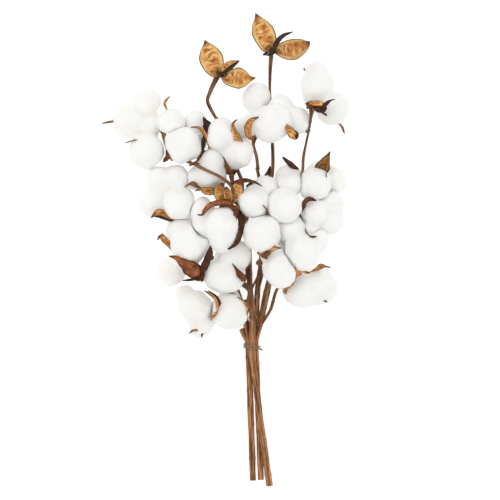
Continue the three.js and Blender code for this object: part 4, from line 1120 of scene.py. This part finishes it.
def shell(name, head, blank, cup_blank, wanted, seed, cup_scale=1, **shape):
    """The cup, the valves and the left-over bracts of a head, as one piece."""
    rng = random.Random(seed)
    seat, axis = PLACES[name]["seat"], PLACES[name]["axis"]
    pieces = [calyx(cup_blank, seat, axis, cup_scale, seed)]
    for k, (line, face, tone) in enumerate(burr_valves(seat, axis, head["valves"], wanted)):
        out = line[0].xyz - seat
        out = (out - axis * out.dot(axis)).normalized()
        root = seat + (axis * CALYX_HEIGHT * 0.5 + out * CALYX_RADIUS * 0.55 * cup_scale) * MM
        foot = min(VALVE_FOOT[1] * MM, max(line[0].w, VALVE_FOOT[0] * MM))
        cotton = None if tone is None else LOCKS.get(name)
        shade = SHORT_VALVE_TONE if tone is None else tone
        pieces.append(bend_valve(blank, Vector((*root, foot)), line, face, axis, seed + k, shade,
                                 cotton=cotton, **shape))
    first = rng.uniform(0, 2 * math.pi)
    across = axis.orthogonal().normalized()
    for k in range(BRACTS):
        turn = first + (k + rng.uniform(-0.2, 0.2)) * 2 * math.pi / BRACTS
        out = Matrix.Rotation(turn, 3, axis) @ across
        root = seat + (axis * BRACT_ROOT[0] + out * BRACT_ROOT[1] * cup_scale) * MM
        line = bract_line(rng, root, out, axis)
        bract = bend_valve(blank, Vector((*root, 0.7 * MM)), line, axis, axis, seed + 50 + k,
                           BRACT_TONE, cup=BRACT_CUP, thickness=BRACT_THICKNESS, lip=0,
                           septum_height=0)
        set_attribute(bract.data, "husk_only", np.ones(len(bract.data.vertices)))
        pieces.append(bract)
    piece = join(pieces, f"{name}_shell")
    bpy.ops.object.shade_smooth_by_angle(angle=FOLD_ANGLE)
    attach(piece, "root")
    return piece


def combined(tree, *parts):
    """Coordinates for a pattern that has its own number along each axis."""
    node = tree.nodes.new("ShaderNodeCombineXYZ")
    for part, socket in zip(parts, node.inputs):
        link(tree, part, socket)
    return node.outputs["Vector"]


def husk_material(name, gold, husk, rim_start):
    """Dry seed case: ribbed gold on the inner face, wrinkled brown outside, dark rim and point."""
    material, tree, shader = new_material(name, 0.55)
    parts = tree.nodes.new("ShaderNodeSeparateXYZ")
    link(tree, attribute(tree, "leaf", "Vector"), parts.inputs["Vector"])
    s, t, back = parts.outputs
    outside = arithmetic(tree, "MAXIMUM", back, attribute(tree, "husk_only"))
    tone = attribute(tree, "tone")
    away = arithmetic(tree, "ABSOLUTE", s, 0)
    place = object_place(tree)
    mottle = noise_texture(tree, place, 160, 4, 0.6)

    # The inner face: wavy ribs across its middle, and veins along its border
    wander = times(tree, noise_texture(tree, place, 90, 2, 0.5), 5)
    across = plus(tree, times(tree, t, 17), wander)
    ripple = combined(tree, across, times(tree, s, 1.1), times(tree, tone, 37))
    ripples = noise_texture(tree, ripple, 1, 3, 0.55)
    vein = combined(tree, times(tree, away, 17), times(tree, t, 4), times(tree, tone, 23))
    parallel = noise_texture(tree, vein, 1, 2, 0.5)
    band = colour_ramp(tree, away, [(0.5, (0, 0, 0)), (0.7, (1, 1, 1))])
    ribs = mix_colour(tree, band, ripples, parallel)
    inner = colour_ramp(tree, ribs, [(0.36, gold[0]), (0.5, gold[1]), (0.6, gold[2])])
    inner = mix_colour(tree, times(tree, band, 0.45), inner, gold[2])
    patches = noise_texture(tree, place, 65, 2, 0.5)
    blush = colour_ramp(tree, patches, [(0.42, (0, 0, 0)), (0.66, (0.7, 0.7, 0.7))])
    blush = times(tree, blush, arithmetic(tree, "SUBTRACT", 1, band))
    inner = mix_colour(tree, blush, inner, tuple(c * k for c, k in zip(gold[1], BLUSH)))

    # The outer face, then the dark rim, point and foot of both
    pits = noise_texture(tree, place, 900, 3, 0.6)
    leather = plus(tree, times(tree, mottle, 0.65), times(tree, pits, 0.35))
    outer = colour_ramp(tree, leather, [(0.36, husk[0]), (0.52, husk[1]), (0.68, husk[2])])
    colour = mix_colour(tree, outside, inner, outer)
    rim = colour_ramp(tree, away, [(rim_start, (0, 0, 0)), (rim_start + 0.12, (1, 1, 1))])
    point = colour_ramp(tree, t, [(0.8, (0, 0, 0)), (0.95, (1, 1, 1))])
    foot = colour_ramp(tree, t, [(0.02, (0.75, 0.75, 0.75)), (0.22, (0, 0, 0))])
    dark = arithmetic(tree, "MAXIMUM", times(tree, rim, 0.85), times(tree, point, 0.8))
    dark = arithmetic(tree, "MAXIMUM", dark, foot)
    colour = mix_colour(tree, dark, colour, RIM_DARK)
    # The valve's tone scales its colour: its own colour, and painted shade on valves that lie in shadow.
    colour = mix_colour(tree, 1.0, colour, colour_ramp(tree, tone, VALVE_TONE_AND_SHADE), "MULTIPLY")
    link(tree, colour, shader.inputs["Base Color"])
    shader.inputs["Specular IOR Level"].default_value = 0.25
    rough = colour_ramp(tree, mottle, [(0.35, (0.42, 0.42, 0.42)), (0.7, (0.68, 0.68, 0.68))])
    link(tree, rough, shader.inputs["Roughness"])
    relief = plus(tree, times(tree, ribs, 0.6), times(tree, pits, 0.4))
    bump(tree, shader, relief, 0.3 * MM, 0.8)
    return material


burr_blank = valve_blank("burr_valve_blank", 12, 26)
cup_blank = calyx_blank()
burr_husk = husk_material("burr_husk", BURR_GOLD, BURR_HUSK, RIM_START)
LOCKS = {name: lock_list(name, boll) for name, boll in BOLLS.items()}
for number, (name, boll) in enumerate(BOLLS.items()):
    piece = shell(name, boll, burr_blank, cup_blank, VALVES, 100 * (number + 1))
    piece.data.materials.append(burr_husk)
    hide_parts(f"{name}_burr")


# Empty pods
# Three pods whose cotton has gone. Their valves lie wide open: boat-shaped, bright gold inside
# with oblique ribs and a thin wall down the middle, and a thin dark rim drawn to a point.
POD_CUP = 0.34
POD_CALYX = 0.5  # of a burr's
POD_GOLD = (0.3, 0.1, 0.018), (0.74, 0.36, 0.09), (1.0, 0.72, 0.32)
POD_HUSK = (0.05, 0.03, 0.022), (0.13, 0.075, 0.05), (0.3, 0.2, 0.14)
POD_RIM = 0.85

pod_blank = valve_blank("pod_valve_blank", 22, 48)
pod_husk = husk_material("pod_husk", POD_GOLD, POD_HUSK, POD_RIM)
for number, (name, pod) in enumerate(PODS.items()):
    piece = shell(name, pod, pod_blank, cup_blank, len(pod["valves"]), 5000 + 100 * number,
                  cup_scale=POD_CALYX, cup=POD_CUP, lip=0.1, ragged=0.008, septum_height=0.5)
    piece.data.materials.append(pod_husk)
    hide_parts(name)

for blank in (burr_blank, pod_blank, cup_blank):
    bpy.data.objects.remove(blank)


# Cotton
# The white lint of each boll, in three or four soft round locks that cling together and press
# on their neighbours. It is loose fibre: each lock is a smooth pear with a fine fuzz round it.
PRESS_EDGE = 3.2 * MM  # over which a lock rounds off where it meets another boll
PRESS_GAP = 0.1 * MM
COARSE, FINE = 2.4 * MM, 1.25 * MM  # cell sizes of the two meshes
LUMPS = (  # size and height
    (22 * MM, 3.0 * MM), (11 * MM, 1.5 * MM), (5 * MM, 0.45 * MM), (2.4 * MM, 0.16 * MM),
)
LONGEST_MOVE = 2.5 * MM  # of a point in one step of the pressing
FLOOR_GAP = 0.02 * MM
FIBRES = 900  # standing out of each boll
FIBRE_LENGTH = 2.5 * MM, 6 * MM
FIBRE_RISE = 0.12, 0.5  # how steeply it leaves the lint
FIBRE_ROOT = 0.4 * MM  # its depth in the lint
FIBRE_RADIUS = 0.05 * MM
FIBRE_RINGS = 0, 0.35, 0.7  # where it has rings of three points, as shares of its length
LINT = (0.955, 0.944, 0.905)
# Paler lint for the creases where bolls press together: painted light that lightens the shade there.
CREASE_PAINTED_LIGHT = (0.995, 0.987, 0.967)


def press(points, own, others, steps):
    """Moves points on to the surface of their own boll, flattened on its neighbours and the floor."""
    def field(p):
        mine = beyond(p, own)
        value = np.maximum(mine, PRESS_GAP - p[:, 2])
        if others:
            shared = (mine - beyond(p, others)) / 2 + PRESS_GAP
            overlap = np.clip(1 - np.abs(value - shared) / PRESS_EDGE, 0, 1)
            value = np.maximum(value, shared) + overlap**2 * PRESS_EDGE / 4
        return value

    for _ in range(steps):
        value, slope = slope_of(field, points, 0.4 * MM)
        size = np.maximum(np.sum(slope**2, axis=1), 0.2)
        move = -slope * (value / size)[:, None]
        far = np.linalg.norm(move, axis=1)
        move *= np.minimum(1, LONGEST_MOVE / np.maximum(far, 1e-9))[:, None]
        points = points + move
    return points


def near(lock, other):
    """Whether two locks may touch."""
    return np.linalg.norm(lock[0] - other[0]) < (lock[1] + other[1]) * LOCK_STRETCH


def lint_body(name, own, others, seed):
    """The joined locks of a boll as one soft lumpy mesh."""
    balls = []
    for centre, radius, out in own:
        bpy.ops.mesh.primitive_ico_sphere_add(subdivisions=4, radius=radius)
        ball = bpy.context.object
        turn = Vector(out).to_track_quat("Z", "Y").to_matrix().to_4x4()
        longer = Matrix.Diagonal((1, 1, LOCK_STRETCH, 1))
        ball.data.transform(Matrix.Translation(centre) @ turn @ longer)
        balls.append(ball)
    piece = join(balls, f"{name}_lint")
    apply_modifier(piece, "REMESH", mode="VOXEL", voxel_size=COARSE)
    set_vertices(piece.data, press(vertices_of(piece.data), own, others, 7))
    apply_modifier(piece, "REMESH", mode="VOXEL", voxel_size=FINE)
    apply_modifier(piece, "SMOOTH", iterations=3, factor=0.5)
    points = press(vertices_of(piece.data), own, others, 1)
    set_vertices(piece.data, points)
    normals = np.empty(len(points) * 3)
    piece.data.vertex_normals.foreach_get("vector", normals)
    shift = Vector((seed * 0.37, seed * 0.11, seed * 0.23))
    height = np.zeros(len(points))
    for size, tall in LUMPS:
        height += tall * np.array([noise.noise(Vector(p) / size + shift) for p in points])
    points = points + normals.reshape(-1, 3) * height[:, None]
    points[:, 2] = np.maximum(points[:, 2], FLOOR_GAP)
    set_vertices(piece.data, points)
    # How far into a crease with another boll each point lies, for the painted light that the lint material
    # puts there.
    crease_light_mask = np.zeros(len(points))
    if others:
        crease_light_mask = np.clip(1.5 - beyond(points, others) / CREASE, 0, 1)
    set_attribute(piece.data, "crease_light_mask", crease_light_mask)
    piece.data.shade_smooth()
    return piece


def fuzz(name, body, seed):
    """Single fibres that stand out of the lint: three-sided, curved, and drawn to a point."""
    rng = np.random.default_rng(seed)
    mesh = body.data
    mesh.calc_loop_triangles()
    corners = np.empty(len(mesh.loop_triangles) * 3, np.int32)
    mesh.loop_triangles.foreach_get("vertices", corners)
    corners = vertices_of(mesh)[corners.reshape(-1, 3)]
    normal = np.cross(corners[:, 1] - corners[:, 0], corners[:, 2] - corners[:, 0])
    area = np.linalg.norm(normal, axis=1)
    chosen = rng.choice(len(area), FIBRES, p=area / area.sum())
    share = rng.dirichlet((1, 1, 1), FIBRES)
    start = np.einsum("ij,ijk->ik", share, corners[chosen])
    normal = normal[chosen] / area[chosen][:, None]
    lean = rng.normal(size=(FIBRES, 3))
    lean -= normal * np.sum(lean * normal, axis=1)[:, None]
    lean /= np.linalg.norm(lean, axis=1)[:, None]
    other = np.cross(normal, lean)
    length = rng.uniform(*FIBRE_LENGTH, FIBRES)[:, None]
    rise = rng.uniform(*FIBRE_RISE, FIBRES)[:, None]
    root = start - normal * FIBRE_ROOT
    elbow = start + lean * length * 0.3 + normal * length * rise
    tip = start + lean * length + normal * length * rise * rng.uniform(0, 0.8, (FIBRES, 1))
    tip += other * length * rng.uniform(-0.4, 0.4, (FIBRES, 1))
    places, faces = [], []
    for t in FIBRE_RINGS:
        centre = (1 - t) ** 2 * root + 2 * t * (1 - t) * elbow + t**2 * tip
        for a in (0, math.radians(120), math.radians(240)):
            out = normal * math.sin(a) + other * math.cos(a)
            places.append(centre + out * FIBRE_RADIUS * (1 - 0.6 * t))
    places.append(tip)
    places = np.stack(places, axis=1)
    places[:, :, 2] = np.maximum(places[:, :, 2], FIBRE_RADIUS)
    pattern = [(0, 2, 1)]  # the root, then the sides between rings, then the tip
    for first in (0, 3):
        for k in range(3):
            after = (k + 1) % 3
            pattern.append((first + k, first + after, first + 3 + after, first + 3 + k))
    pattern += [(6, 7, 9), (7, 8, 9), (8, 6, 9)]
    for n in range(FIBRES):
        faces += [tuple(10 * n + v for v in face) for face in pattern]
    mesh = bpy.data.meshes.new(f"{name}_fuzz")
    mesh.from_pydata(places.reshape(-1, 3).tolist(), [], faces)
    return add_object(f"{name}_fuzz", mesh)


lint, tree, shader = new_material("cotton_lint", 0.95)
place = object_place(tree)
cloud = noise_texture(tree, place, 90, 5, 0.6)
wisps = noise_texture(tree, stretched(tree, place, (1, 2.6, 1)), 700, 4, 0.65)
tint = colour_ramp(tree, cloud, [(0.35, tuple(c * 0.97 for c in LINT)), (0.65, LINT)])
# Painted light: paler lint in the creases between bolls, against the shade there.
tint = mix_colour(tree, attribute(tree, "crease_light_mask"), tint, CREASE_PAINTED_LIGHT)
link(tree, tint, shader.inputs["Base Color"])
shader.inputs["Subsurface Weight"].default_value = 0.7
shader.inputs["Subsurface Radius"].default_value = (1.0, 0.92, 0.84)
shader.inputs["Subsurface Scale"].default_value = 9 * MM
shader.inputs["Sheen Weight"].default_value = 0.1
shader.inputs["Specular IOR Level"].default_value = 0.1
bump(tree, shader, wisps, 0.35 * MM, 0.6)

fuzz_lint, tree, shader = new_material("cotton_fibre", 0.9)
shader.inputs["Base Color"].default_value = (*LINT, 1)
shader.inputs["Specular IOR Level"].default_value = 0.2

for number, (name, own) in enumerate(LOCKS.items()):
    others = [lock for other, locks in LOCKS.items() if other != name
              for lock in locks if any(near(lock, mine) for mine in own)]
    body = lint_body(name, own, others, number + 1)
    body.data.materials.clear()
    body.data.materials.append(lint)
    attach(body, "root")
    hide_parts(f"{name}_cotton")
    hairs = fuzz(name, body, number + 1)
    hairs.data.materials.append(fuzz_lint)
    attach(hairs, "root")


# Twine
# A thin brown twine, three strands twisted together, wound not quite twice round the three
# stalks where the bunch is held. Its ends stick out a little and fray.
TWINE_RADIUS = 0.8  # mm, as are the sizes below
TWINE_TURNS = 1.8
TWINE_PITCH = 2
TWINE_TAIL = 3
TWINE_CLEARANCE = 1.7 * SEAT_GAP
STRANDS = 3
STRAND_RADIUS = 0.46
TWIST_LENGTH = 3.4
FRAY, FRAY_LENGTH = 0.8, 2.2  # how far the strands part at an end, and over what length
TWINE_DARK, TWINE_PALE = (0.17, 0.09, 0.052), (0.46, 0.29, 0.18)


def twine_path():
    """Points along the winding: each keeps to the outermost stalk in its direction."""
    stems = [Vector(next(p for p in s["route"] if p[1] == 0)) for s in STALKS.values()]
    clear = STALK_RADIUS + TWINE_CLEARANCE + TWINE_RADIUS
    path = []
    per_turn = 10
    for i in range(round(TWINE_TURNS * per_turn) + 1):
        angle = -0.6 + i / per_turn * 2 * math.pi
        out = Vector((math.cos(angle), 0, math.sin(angle)))
        outermost = max(stems, key=lambda stem: stem.dot(out))
        drift = Vector((0, (i / per_turn - TWINE_TURNS / 2) * TWINE_PITCH, 0))
        path.append(outermost + out * clear + drift)
    tail = Vector((TWINE_TAIL, -TWINE_TAIL / 2, -TWINE_TAIL / 2))
    return [at(p) for p in [path[0] + tail, *path, path[-1] - tail]]


centres, _, along = smooth_route(twine_path(), 0.5 * MM)
tangents = np.gradient(centres, axis=0)
tangents /= np.linalg.norm(tangents, axis=1)[:, None]
sides = [np.array((0.31, 0.17, 0.94))]  # any direction but the first tangent's
for tangent in tangents:
    side = sides[-1] - tangent * (sides[-1] @ tangent)
    sides.append(side / np.linalg.norm(side))
sides = np.array(sides[1:])
others = np.cross(tangents, sides)
strands = []
for k in range(STRANDS):
    angle = 2 * math.pi * (along / (TWIST_LENGTH * MM) + k / STRANDS)[:, None]
    from_end = np.minimum(along, along[-1] - along)[:, None]
    fray = 1 + FRAY * np.clip(1 - from_end / (FRAY_LENGTH * MM), 0, 1)
    out = sides * np.cos(angle) + others * np.sin(angle)
    path = centres + out * (TWINE_RADIUS - STRAND_RADIUS) * MM * fray
    strands.append(tube("strand", path, np.full(len(path), STRAND_RADIUS * MM), 8))
twine, tree, shader = new_material("twine", 0.9)
hairs = noise_texture(tree, object_place(tree), 2600, 3, 0.6)
browns = colour_ramp(tree, hairs, [(0.35, TWINE_DARK), (0.65, TWINE_PALE)])
link(tree, browns, shader.inputs["Base Color"])
bump(tree, shader, hairs, 0.15 * MM, 0.7)
piece = join(strands, "twine_tie_strands")
piece.data.shade_smooth()
piece.data.materials.append(twine)
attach(piece, "root")
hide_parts("twine_tie")
